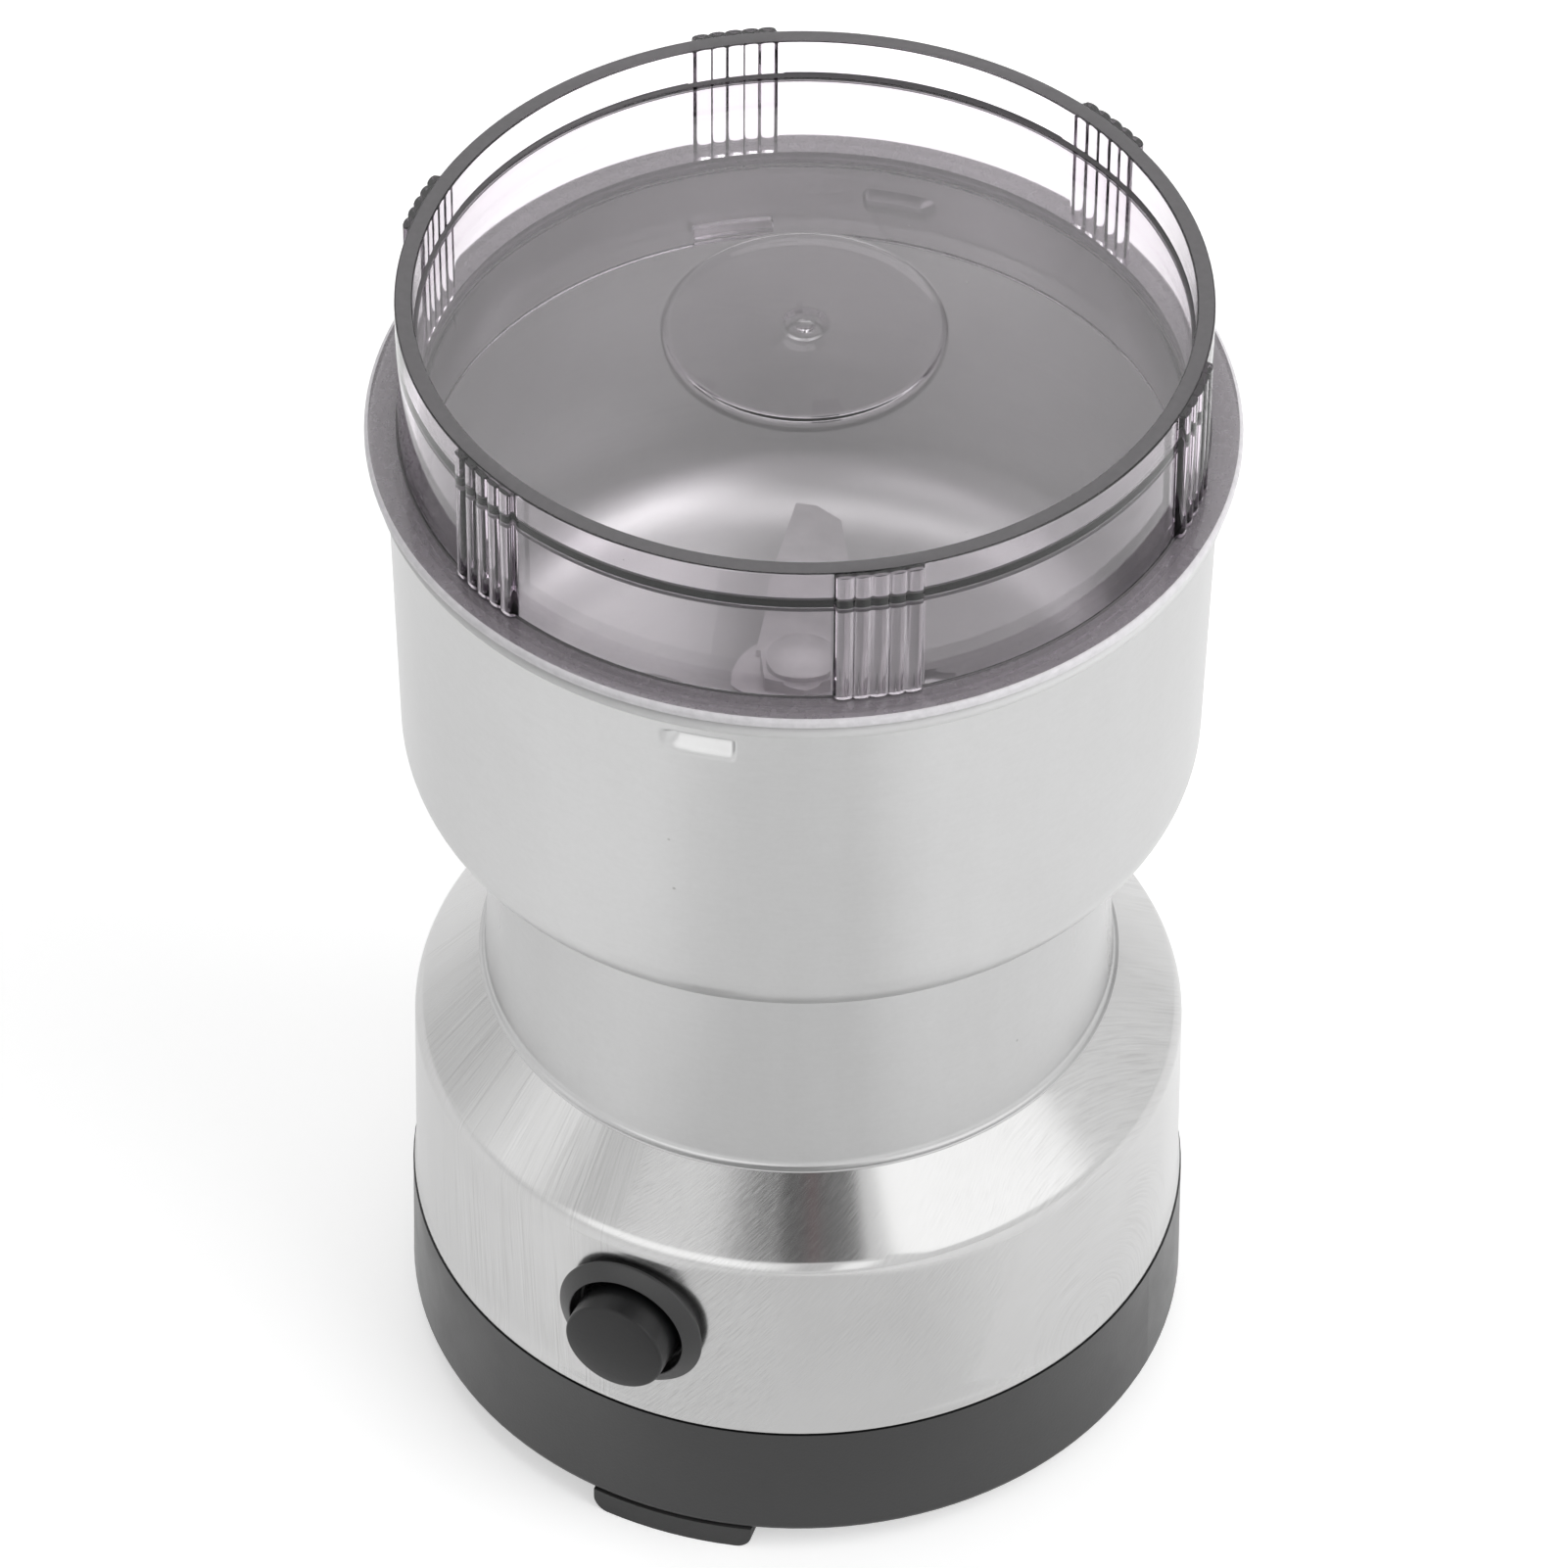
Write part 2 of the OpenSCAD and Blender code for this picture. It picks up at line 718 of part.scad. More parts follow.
module shaft_collar() {
    bore_r = shaft_r + run_gap;
    color(dark)
        turned([
            [bore_r, bowl_z0 - run_gap / 2], [collar_neck_r, bowl_z0 - run_gap / 2],
            [collar_neck_r, bowl_floor_z1], [collar_r, bowl_floor_z1],
            [collar_r, bowl_floor_z1 + collar_h / 4], [collar_top_r, collar_z1],
            [seal_ring_r + seat_gap, collar_z1], [seal_ring_r + seat_gap, collar_z1 - seal_ring_h],
            [bore_r, collar_z1 - seal_ring_h]
        ]);
}

module shaft_seal() {
    color("#7a2f2a")
        ring(collar_z1 - seal_ring_h, collar_z1, seal_ring_r, shaft_r + fit_gap);
}

module upper_bracket() {
    color(iron)
        difference() {
            union() {
                ring(bracket_z0, plate_z1, bracket_r, bearing_r + seat_gap);
                ring(upper_bearing_z0, boss_z1, boss_r, bearing_r + seat_gap);
                around(bowl_screw_count, bowl_screw_az, bowl_screw_circle_r)
                    translate([0, 0, bracket_z0 - bracket_t])
                        cylinder(r = screw_r + boss_wall, h = 3 / 2 * bracket_t);
                around(2, motor_az, tie_circle_r)
                    translate([0, 0, stack_z1])
                        cylinder(r = post_r, h = plate_z1 - stack_z1);
            }
            around(bowl_screw_count, bowl_screw_az, bowl_screw_circle_r)
                translate([0, 0, bracket_z0 - bracket_t - over])
                    cylinder(r = screw_r + seat_gap, h = 2 * bracket_t + 2 * over);
            around(2, motor_az, tie_circle_r)
                translate([0, 0, stack_z1 - over])
                    cylinder(r = tie_r + seat_gap, h = plate_z1 - stack_z1 - bracket_t + over);
        }
}

module lower_bracket() {
    color(iron)
        difference() {
            union() {
                for (turn = [0, 90])
                    rotate([0, 0, motor_az + turn])
                        translate([-lower_arm_w / 2, -tie_circle_r, lower_plate_z0])
                            cube([lower_arm_w, 2 * tie_circle_r, lower_plate_t]);
                ring(lower_bearing_z0, lower_bearing_z1, boss_r, bearing_r + seat_gap);
                around(2, motor_az, tie_circle_r)
                    translate([0, 0, lower_plate_z0])
                        cylinder(r = post_r, h = stack_z0 - lower_plate_z0);
                around(2, motor_az + 90, holder_x0 + holder_l - post_r)
                    translate([0, 0, lower_plate_z0])
                        cylinder(r = post_r, h = brush_z - brush_h / 2 - holder_wall - lower_plate_z0);
            }
            translate([0, 0, lower_bearing_z0 - over])
                cylinder(r = bearing_r + seat_gap, h = lower_bearing_h + 2 * over);
            around(2, motor_az, tie_circle_r)
                translate([0, 0, lower_plate_z0 - over])
                    cylinder(r = tie_r + seat_gap, h = stack_z0 - lower_plate_z0 + 2 * over);
        }
}

module bracket_screws() {
    color(iron)
        around(2, motor_az, tie_circle_r) {
            translate([0, 0, lower_plate_z0 - tie_head_h])
                cylinder(r = tie_head_r, h = tie_head_h);
            translate([0, 0, lower_plate_z0])
                cylinder(r = tie_r, h = bracket_z0 - bracket_t - lower_plate_z0);
        }
}

module upper_bearing() {
    color(brass)
        ring(upper_bearing_z0, boss_z1, bearing_r, shaft_r + fit_gap);
}

module lower_bearing() {
    color(brass)
        ring(lower_bearing_z0, lower_bearing_z1, bearing_r, shaft_r + fit_gap);
}

// A flat pie slice that reaches past the stator, on both sides of X
module both_wedges(half_angle) {
    reach = 2 * stator_r;
    for (side = [0, 180])
        rotate(side)
            polygon([[0, 0], [reach, -reach * tan(half_angle)], [reach, reach * tan(half_angle)]]);
}

module stator_core() {
    color(iron)
        rotate([0, 0, motor_az])
            translate([0, 0, stack_z0])
                linear_extrude(stack_h)
                    stator_outline(armature_r + air_gap);
}

// The stator's yoke, its two poles and their shoes, with holes for the ties
module stator_outline(shoe_r) {
    difference() {
        union() {
            difference() {
                circle(stator_r);
                circle(stator_r - yoke_t);
            }
            intersection() {
                circle(stator_r - yoke_t / 2);
                square([2 * stator_r, pole_w], center = true);
            }
            intersection() {
                circle(shoe_r + shoe_t);
                both_wedges(shoe_angle);
            }
        }
        circle(shoe_r);
        for (side = [-1, 1])
            translate([0, side * tie_circle_r])
                circle(tie_r + seat_gap);
    }
}

module field_coils() {
    shoe_r = armature_r + air_gap + shoe_t;
    color(copper)
        rotate([0, 0, motor_az])
            difference() {
                translate([0, 0, stack_z0 - coil_over])
                    linear_extrude(stack_h + 2 * coil_over)
                        intersection() {
                            difference() {
                                circle(stator_r - yoke_t - coil_clear);
                                circle(shoe_r + coil_clear);
                            }
                            both_wedges(coil_angle);
                        }
                translate([-stator_r, -pole_w / 2 - coil_clear, stack_z0 - coil_clear])
                    cube([2 * stator_r, pole_w + 2 * coil_clear, stack_h + 2 * coil_clear]);
            }
}

// A bar on each side of the shaft, across the motor's ties
module both_bars(x0, x1, w, z0, z1) {
    for (side = [0, 180])
        rotate([0, 0, motor_az + side])
            translate([x0, -w / 2, z0])
                cube([x1 - x0, w, z1 - z0]);
}

module brush_holders() {
    outer_w = brush_w + 2 * holder_wall;
    outer_h = brush_h + 2 * holder_wall;
    color(brass)
        difference() {
            both_bars(holder_x0, holder_x0 + holder_l, outer_w, brush_z - outer_h / 2,
                brush_z + outer_h / 2);
            both_bars(holder_x0 - over, holder_x0 + holder_l - holder_wall, brush_w + 2 * seat_gap,
                brush_z - brush_h / 2 - seat_gap, brush_z + brush_h / 2 + seat_gap);
        }
}

module carbon_brushes() {
    color("#2b2b2d")
        difference() {
            both_bars(commutator_r / 2, commutator_r + brush_l, brush_w, brush_z - brush_h / 2,
                brush_z + brush_h / 2);
            translate([0, 0, brush_z - brush_h])
                cylinder(r = commutator_r + fit_gap, h = 2 * brush_h);
        }
}

module brush_springs() {
    x0 = commutator_r + brush_l + seat_gap;
    x1 = holder_x0 + holder_l - holder_wall - seat_gap;
    color(steel)
        for (side = [0, 180])
            rotate([0, 0, motor_az + side])
                translate([x0, 0, brush_z])
                    rotate([0, 90, 0])
                        helix_spring(brush_spring_r, spring_wire_r, x1 - x0, spring_turns - 1);
}

module switch_housing() {
    edge_x = bezel_r - bezel_round_r;
    color(dark)
        difference() {
            union() {
                intersection() {
                    translate([0, bezel_y, button_z])
                        rotate([-90, 0, 0])
                            turned(concat(
                                [
                                    [0, -bezel_lip], [bezel_r - bezel_ring_w + bezel_land_w, -bezel_lip],
                                    [edge_x, 0]
                                ],
                                oval(edge_x, bezel_round_r, bezel_round_r, bezel_round_r, -90, 0, 6),
                                [[bezel_r, 2 * bezel_r], [0, 2 * bezel_r]]
                            ));
                    bezel_back();
                }
                along_y(barrel_r, bezel_y + bezel_dish, barrel_y1);
            }
            along_y(bezel_r - bezel_ring_w, bezel_y - bezel_lip - over, bezel_y + bezel_dish);
            along_y(guide_r, bezel_y, barrel_floor_y);
            along_y(stem_r + fit_gap, barrel_floor_y - over, barrel_y1 + over);
        }
}

// The space outside the steel shell that the bezel may fill
module bezel_back() {
    difference() {
        translate([-bezel_r, bezel_y - bezel_lip, button_z - bezel_r])
            cube([2 * bezel_r, bezel_lip + bezel_proud + bezel_r, 2 * bezel_r]);
        translate([0, 0, button_z - bezel_r - over])
            cylinder(r = shell_r + seat_gap, h = 2 * bezel_r + 2 * over);
    }
}

module switch_nut() {
    inside_r = shell_r - sheet_t - shell_draft;
    face_y = -sqrt(inside_r * inside_r - nut_r * nut_r) + seat_gap;
    color(dark)
        difference() {
            translate([0, face_y, button_z])
                rotate([-90, 0, 0])
                    cylinder(r = nut_r, h = nut_t, $fn = 6);
            along_y(barrel_r + seat_gap, face_y - over, face_y + nut_t + over);
        }
}

module switch_terminals() {
    pad_y0 = barrel_y1 + bridge_gap + bridge_t + cap_travel;
    color(brass)
        for (side = [-1, 1]) {
            translate([side * terminal_x - terminal_t / 2, barrel_y1, button_z - terminal_w / 2])
                cube([terminal_t, pad_y0 + terminal_tail - barrel_y1, terminal_w]);
            translate([side * (terminal_x + bridge_r / 2) / 2 - (terminal_x - bridge_r / 2) / 2,
                pad_y0 + seat_gap, button_z - terminal_w / 2])
                cube([terminal_x - bridge_r / 2, terminal_t, terminal_w]);
        }
}

module button_cap() {
    color(dark)
        translate([0, cap_y, button_z])
            rotate([-90, 0, 0]) {
                turned(concat(
                    [[0, -cap_dome_h]],
                    oval(0, 0, cap_r - cap_edge_r, cap_dome_h, -78, -12, 6),
                    oval(cap_r - cap_edge_r, cap_edge_r, cap_edge_r, cap_edge_r, -78, 0, 6),
                    [
                        [cap_r, cap_l], [cap_r - cap_wall, cap_l], [cap_r - cap_wall, cap_front_t],
                        [0, cap_front_t]
                    ]
                ));
                translate([0, 0, cap_front_t / 2])
                    cylinder(r = stem_r, h = barrel_y1 - cap_y - cap_front_t / 2 + bridge_gap);
            }
}

module button_spring() {
    y0 = cap_y + cap_front_t + seat_gap;
    color(steel)
        translate([0, y0, button_z])
            rotate([-90, 0, 0])
                helix_spring(spring_r, spring_wire_r, barrel_floor_y - seat_gap - y0, spring_turns);
}

module contact_bridge() {
    color(copper)
        along_y(bridge_r, barrel_y1 + bridge_gap, barrel_y1 + bridge_gap + bridge_t);
}

module rotor_shaft() {
    color(steel) {
        translate([0, 0, shaft_z0])
            cylinder(r = shaft_r, h = blade_z1 + shaft_top_h - shaft_z0);
    }
}

module armature_core() {
    color(iron)
        translate([0, 0, stack_z0])
            linear_extrude(stack_h)
                difference() {
                    circle(armature_r);
                    circle(shaft_r + seat_gap);
                    for (i = [0:slot_count - 1])
                        rotate(i * 360 / slot_count) {
                            translate([armature_r - 2 * slot_r, 0])
                                circle(slot_r, $fn = 24);
                            translate([armature_r - 2 * slot_r, -slot_mouth_w / 2])
                                square([2 * slot_r + over, slot_mouth_w]);
                        }
                }
}

module armature_windings() {
    color(copper) {
        translate([0, 0, stack_z1])
            end_winding();
        translate([0, 0, stack_z0])
            mirror([0, 0, 1])
                end_winding();
        around(slot_count, 90, armature_r - 2 * slot_r)
            translate([0, 0, stack_z0])
                cylinder(r = slot_r - seat_gap, h = stack_h, $fn = 24);
    }
}

// The rounded bundle of wire over one end of the armature
module end_winding() {
    mean_r = (winding_r + winding_in_r) / 2;
    half_w = (winding_r - winding_in_r) / 2;
    turned(concat(
        [[mean_r - half_w, 0], [mean_r + half_w, 0]],
        oval(mean_r, winding_over / 2, half_w, winding_over / 2, 0, 180, 10)
    ));
}

module commutator() {
    color(copper)
        difference() {
            ring(commutator_z0, commutator_z1, commutator_r, shaft_r + seat_gap);
            for (i = [0:slot_count - 1])
                rotate([0, 0, (i + 1 / 2) * 360 / slot_count])
                    translate([commutator_r - segment_depth, -segment_gap_w / 2, commutator_z0 - over])
                        cube([segment_depth + over, segment_gap_w, commutator_h + 2 * over]);
        }
}

module cooling_fan() {
    color(nylon) {
        ring(fan_z0 + fan_h - fan_plate_t, fan_z0 + fan_h, fan_r, shaft_r + seat_gap);
        ring(fan_z0, fan_z0 + fan_h, fan_hub_r, shaft_r + seat_gap);
        for (i = [0:fan_blades - 1])
            rotate([0, 0, i * 360 / fan_blades])
                translate([fan_r - fan_blade_l, -fan_blade_t / 2, fan_z0])
                    cube([fan_blade_l - fan_blade_t, fan_blade_t, fan_h]);
    }
}

module blade_hub() {
    color(dark)
        turned([
            [shaft_r + seat_gap, hub_z0], [hub_foot_r, hub_z0], [hub_foot_r, hub_z0 + hub_h / 4],
            [hub_r, hub_z0 + hub_h / 2], [hub_r, blade_z0], [shaft_r + seat_gap, blade_z0]
        ]);
}

// One flat wing: broad at the root, swept back to a blunt tip
module wing_outline() {
    half = blade_w / 2;
    tip = half * wing_tip_share;
    sweep = half * wing_sweep_share;
    polygon([
        [0, -half], [blade_reach / 2, -half], [blade_reach - tip, -tip - sweep], [blade_reach, -tip / 2],
        [blade_reach, tip / 2], [blade_reach / 2, half - sweep], [0, half]
    ]);
}

module blade() {
    bend_x = blade_disc_r - blade_t;
    color(steel)
        difference() {
            union() {
                ring(blade_z0, blade_z1, blade_disc_r, shaft_r + seat_gap);
                for (side = [0, 1])
                    rotate([0, 0, blade_az - 90 + side * 180])
                        intersection() {
                            translate([bend_x, 0, blade_z0 + blade_t / 2])
                                rotate([wing_pitch, (side == 0 ? -1 : 1) * blade_bend / 2, 0])
                                    translate([-bend_x, 0, -blade_t / 2])
                                        linear_extrude(blade_t)
                                            wing_outline();
                            translate([shaft_r + blade_t, -blade_reach, bowl_floor_z1])
                                cube([2 * blade_reach, 2 * blade_reach, bowl_h]);
                        }
            }
            translate([0, 0, blade_z1])
                cylinder(r = nut_hex_r + seat_gap, h = bowl_h);
            translate([0, 0, blade_z0 - bowl_h])
                cylinder(r = hub_r + seat_gap, h = bowl_h);
        }
}

module blade_nut() {
    color(steel)
        difference() {
            union() {
                translate([0, 0, blade_z1])
                    cylinder(r = nut_hex_r, h = nut_hex_h, $fn = 6);
                translate([0, 0, blade_z1 + nut_hex_h])
                    intersection() {
                        cylinder(r = nut_dome_r, h = nut_dome_h);
                        translate([0, 0, nut_dome_h - 2 * nut_dome_r])
                            sphere(2 * nut_dome_r);
                    }
            }
            translate([0, 0, blade_z1 - over])
                cylinder(r = shaft_r + seat_gap, h = shaft_top_h + seat_gap + over);
        }
}

module lid_seal() {
    color(clear_tint)
        ring(seal_z0, seal_z0 + seal_t, bowl_in_r - run_gap, skirt_r + seal_gap);
}

module lid() {
    color(clear_tint) {
        turned(concat(
            [
                [0, disc_z0], [lid_inner_r - disc_round_r, disc_z0],
                [lid_inner_r, disc_z0 - disc_round_r], [lid_inner_r, flange_z0],
                [skirt_inner_r, flange_z0 - lid_wall], [skirt_inner_r, skirt_z0],
                [skirt_r, skirt_z0], [skirt_r, flange_z0], [flange_r - rim_round_r, flange_z0],
                [flange_r, flange_z0 + rim_round_r], [flange_r, flange_z0 + flange_t - rim_round_r],
                [flange_r - rim_round_r, flange_z0 + flange_t],
                [lid_r + rim_round_r, flange_z0 + flange_t + flange_slope],
                [lid_r, flange_z0 + flange_t + 2 * flange_slope], [lid_r, lid_z1 - rim_round_r],
                [lid_r - rim_round_r, lid_z1], [lid_inner_r + rim_round_r, lid_z1],
                [lid_inner_r, lid_z1 - rim_round_r]
            ],
            oval(lid_inner_r - disc_round_r, disc_z1 + disc_round_r, disc_round_r, disc_round_r, 0, -90, 5),
            [
                [plateau_r, disc_z1], [plateau_r - plateau_h * plateau_round_share, disc_z1 + plateau_h],
                [gate_r, disc_z1 + plateau_h]
            ],
            oval(0, disc_z1 + plateau_h, gate_r, gate_depth, -10, -60, 4),
            [
                [gate_pip_r, disc_z1 + plateau_h - gate_depth],
                [gate_pip_r / 2, disc_z1 + plateau_h - gate_depth + gate_pip_h],
                [0, disc_z1 + plateau_h - gate_depth + gate_pip_h]
            ]
        ));
        around(grip_count, grip_az, 0)
            grip_patch();
        around(2, dimple_az + lug_turn, 0)
            lock_lug();
    }
}

// Five upright half-round ribs on the lid's wall
module grip_patch() {
    step = rib_pitch / lid_r * 180 / PI;
    for (i = [0:rib_count - 1])
        rotate([0, 0, (i - (rib_count - 1) / 2) * step])
            translate([0, -lid_r, flange_z0 + flange_t / 2])
                cylinder(r = rib_r, h = lid_h - flange_t / 2 - 2 * rim_round_r, $fn = 24);
}

// A lug at the skirt's foot that turns under a lock dimple
module lock_lug() {
    intersection() {
        ring(skirt_z0, skirt_z0 + lug_h, lug_r, skirt_r - skirt_t / 2);
        translate([0, 0, skirt_z0])
            linear_extrude(lug_h)
                rotate(-90)
                    polygon([
                        [0, 0], [bowl_r, -bowl_r * tan(lug_span / 2)], [bowl_r, bowl_r * tan(lug_span / 2)]
                    ]);
    }
}

foot_pads();
base_pan();
base_screws();
cord_grommet();
base_shell();
neck_sleeve();
motor_frame();
bowl();
bowl_screws();
shaft_collar();
shaft_seal();
upper_bracket();
lower_bracket();
bracket_screws();
upper_bearing();
lower_bearing();
stator_core();
field_coils();
brush_holders();
carbon_brushes();
brush_springs();
switch_housing();
switch_nut();
switch_terminals();
button_cap();
button_spring();
contact_bridge();
rotor_shaft();
armature_core();
armature_windings();
commutator();
cooling_fan();
blade_hub();
blade();
blade_nut();
lid_seal();
lid();
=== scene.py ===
"""Looks of the electric spice grinder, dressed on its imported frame."""
from math import acos, atan2, cos, degrees, hypot, pi, radians, sin, sqrt, tan

import bpy
from mathutils import Matrix, Vector


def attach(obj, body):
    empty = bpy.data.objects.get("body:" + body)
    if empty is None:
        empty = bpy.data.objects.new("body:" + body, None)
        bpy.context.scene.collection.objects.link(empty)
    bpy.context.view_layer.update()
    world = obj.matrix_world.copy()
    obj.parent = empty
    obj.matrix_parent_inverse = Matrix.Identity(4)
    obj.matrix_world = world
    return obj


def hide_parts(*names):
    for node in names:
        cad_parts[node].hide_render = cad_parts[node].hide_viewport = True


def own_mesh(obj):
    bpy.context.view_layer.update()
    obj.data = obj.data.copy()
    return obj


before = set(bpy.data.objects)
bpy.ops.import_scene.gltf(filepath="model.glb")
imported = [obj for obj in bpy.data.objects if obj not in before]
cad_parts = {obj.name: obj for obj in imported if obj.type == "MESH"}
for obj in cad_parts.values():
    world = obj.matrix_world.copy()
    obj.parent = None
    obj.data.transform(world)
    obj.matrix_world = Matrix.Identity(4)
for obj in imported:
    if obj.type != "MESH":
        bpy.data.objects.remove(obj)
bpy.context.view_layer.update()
MM = 0.001

# Sizes repeated from the part's source, in millimetres. In the names R is a radius, H a height,
# Z0 and Z1 are an underside and a top, and AZ is a direction in degrees, counted from the button.
SHEET = 0.6
SHELL_Z0, SHELL_R = 20.6, 47.3
CREST_X, CREST_Z, CREST_R = 43.0, 46.5, 4.0
NECK_Z0, NECK_R, NECK_TAPER = 57.2, 38.2, 1.4
BOWL_Z0, BOWL_R, BOWL_FLARE, BOWL_ROUND_W, BOWL_ROUND_H = 88.0, 47.6, 0.9, 13.4, 10.3
HOLE_R, BEAD_R, BEAD_Z = 8.35, 1.25, 140.65
DIMPLE_Z, DIMPLE_W, DIMPLE_H, DIMPLE_DEPTH = 135.3, 8.6, 3.0, 1.3
DIMPLE_AZ, DIMPLE_COUNT = 10.4, 2
LID_R, LID_IN_R, LID_Z1 = 47.0, 44.9, 162.2
DISC_Z0, DISC_Z1 = 155.9, 157.1
PLATEAU_R, PLATEAU_H, GATE_R = 16.2, 0.5, 2.65
FLANGE_R, FLANGE_Z0, FLANGE_Z1 = 50.9, 142.0, 143.25
SKIRT_R, SKIRT_IN_R, SKIRT_Z0 = 46.35, 44.55, 131.15
LID_TURN = 25
LUG_R, LUG_H, LUG_AZ, LUG_SPAN = 47.55, 1.7, DIMPLE_AZ + LID_TURN, 12
GRIP_COUNT, GRIP_AZ = 6, 35.1
RIB_COUNT, RIB_PITCH, RIB_H, RIB_DIP, RIB_FOOT_Z = 5, 1.98, 0.9, 0.42, 143.6
BUTTON_Z, BEZEL_Y, BEZEL_R, RING_W, DISH, LIP = 36.0, -48.0, 9.45, 2.05, 1.4, 1.2
BARREL_R, BARREL_L = 8.6, 12.0
CAP_Y, CAP_R, CAP_L, CAP_WALL, CAP_T, TRAVEL = -52.6, 6.4, 9, 1.1, 1.8, 3.0
SPRING_R, SPRING_WIRE_R, SPRING_TURNS, SPRING_Y0, SPRING_Y1 = 3.6, 0.3, 5, -50.75, -37.65

# Sizes that only the looks have, in millimetres
GAP = 0.05  # between pieces that pass through or meet one another
SLACK = 0.01  # for comparing the place of a point or a face with a size
AXIS_R = 0.4  # the innermost ring of a solid piece, closed to a point
HEM_OUT, HEM_H = 0.25, 1.8  # the shell's lower edge
NECK_REACH = 1.2  # how far the neck goes down into the shell
DIMPLE_STEEP, DIMPLE_GENTLE, DIMPLE_LEDGE, DIMPLE_SLOPE = 0.6, 2.6, 0.7, 2.9  # its four edges
RIB_FLANK = 0.2  # beside the outermost rib of a grip
RIM_ROUND, DISC_ROUND, SKIRT_ROUND = 0.25, 0.45, 0.4
FLANGE_UNDER, FLANGE_ROUND = 0.35, 0.5  # its lower and its upper edge
FOOT_ROUND, FOOT_REACH = 0.25, 0.34  # where the wall meets the flange, and how far its painted shade goes

# The photograph's camera, from a fit of the object's circles: degrees, millimetres, the roll in
# radians, and the shift in shares of the picture's width
CAMERA_AZ, CAMERA_PITCH, CAMERA_ROLL = 24.54, 44.35, 0.009
CAMERA_DISTANCE, CAMERA_AIM_Z = 1184.18, 79.8
CAMERA_LENS, CAMERA_SENSOR, CAMERA_SHIFT = 226.12, 36, (-0.010414, 0.016068)

# Surroundings, in metres; the levels are strengths of light
FLOOR_SIZE, CARD_LIFT = 30, 0.0005
FLOOR_SEEN, FLOOR_MIRRORED, SKY_LIGHT = 0.5, 0.42, 0.42
LAMP_AIM_Z, CARD_AIM_Z = 0.08, 0.05
# Name, direction and elevation in degrees, distance, diameter, power
LAMPS = (("key_lamp", 88, 42, 1.3, 1.2, 9.0), ("top_lamp", -130, 68, 1.3, 0.9, 3.5))
# Name, direction and elevation in degrees, distance, width and height in degrees, level or stops
CARDS = (
    ("front_low_card", 5, 20, 1.0, 75, 24, [
        (0.0, 1.6), (0.62, 1.6), (0.73, 0.8), (0.83, 0.8), (0.88, 1.5)]),
    ("right_card", 83, 36, 1.1, 49, 37, 1.6),
    ("left_dim_card", -35, 34, 1.2, 17, 30, 0.75),
    ("left_card", -55, 28, 1.1, 18, 32, 1.25),
    ("left_back_card", -100, 16, 1.3, 44, 30, 0.8),
    ("back_card", -160, 34, 1.1, 40, 34, 1.5),
    ("back_dim_card", 160, 30, 1.2, 30, 34, 0.5),
    ("front_high_card", 2, 64, 1.1, 44, 16, 0.2),
    ("top_card", -155, 82, 1.2, 60, 34, 1.4),
    ("front_dim_card", 24, 45, 0.9, 31.5, 22, [
        (0.0, 0.75), (0.1, 0.34), (0.26, 0.19), (0.45, 0.18), (0.6, 0.16),
        (0.635, (0.3, 0.17, 0.18)), (0.67, 0.17), (0.85, 0.24), (0.97, 0.26), (1.0, 0.5)]),
)
# Name, direction in degrees, nearest and farthest edge, width, stops
FLOOR_CARD = ("front_floor_card", 25, 0.056, 0.32, 0.16, [
    (0.0, 1.0), (0.2, 0.88), (0.72, 0.88), (0.9, 1.04), (1.0, 1.08)])

NOISE_LOW, NOISE_HIGH = 0.3, 0.7  # noise mostly keeps between these

scene = bpy.context.scene
scene.view_settings.view_transform = "Standard"


# Camera

def add_camera():
    """The photograph's camera, turned and rolled as the fit says."""
    azimuth, pitch = radians(CAMERA_AZ), radians(CAMERA_PITCH)
    right = Vector((cos(azimuth), sin(azimuth), 0))
    ahead = Vector((-sin(azimuth) * cos(pitch), cos(azimuth) * cos(pitch), -sin(pitch)))
    up = right.cross(ahead)
    lean, stand = sin(CAMERA_ROLL), cos(CAMERA_ROLL)
    right, up = right * stand + up * lean, up * stand - right * lean
    place = Vector((0, 0, CAMERA_AIM_Z * MM)) - ahead * (CAMERA_DISTANCE * MM)
    data = bpy.data.cameras.new("camera")
    data.sensor_width, data.lens = CAMERA_SENSOR, CAMERA_LENS
    data.shift_x, data.shift_y = CAMERA_SHIFT
    data.clip_start, data.clip_end = 0.05, 100
    camera = bpy.data.objects.new("camera", data)
    scene.collection.objects.link(camera)
    camera.matrix_world = Matrix((
        (right.x, up.x, -ahead.x, place.x),
        (right.y, up.y, -ahead.y, place.y),
        (right.z, up.z, -ahead.z, place.z),
        (0, 0, 0, 1),
    ))
    scene.camera = camera


# Finishes

class Wire:
    """One value in a finish, with Python's operators for its Math nodes."""

    def __init__(self, finish, socket):
        self.finish, self.socket = finish, socket

    def math(self, operation, *others):
        values = dict(enumerate((self, *others)))
        return self.finish.node("Math", values, operation=operation)

    def __add__(self, other):
        return self.math("ADD", other)

    def __sub__(self, other):
        return self.math("SUBTRACT", other)

    def __mul__(self, other):
        return self.math("MULTIPLY", other)

    def __truediv__(self, other):
        return self.math("DIVIDE", other)

    def __rsub__(self, other):
        return self.finish.node("Math", {0: other, 1: self}, operation="SUBTRACT")

    def __rtruediv__(self, other):
        return self.finish.node("Math", {0: other, 1: self}, operation="DIVIDE")

    __radd__ = __add__
    __rmul__ = __mul__


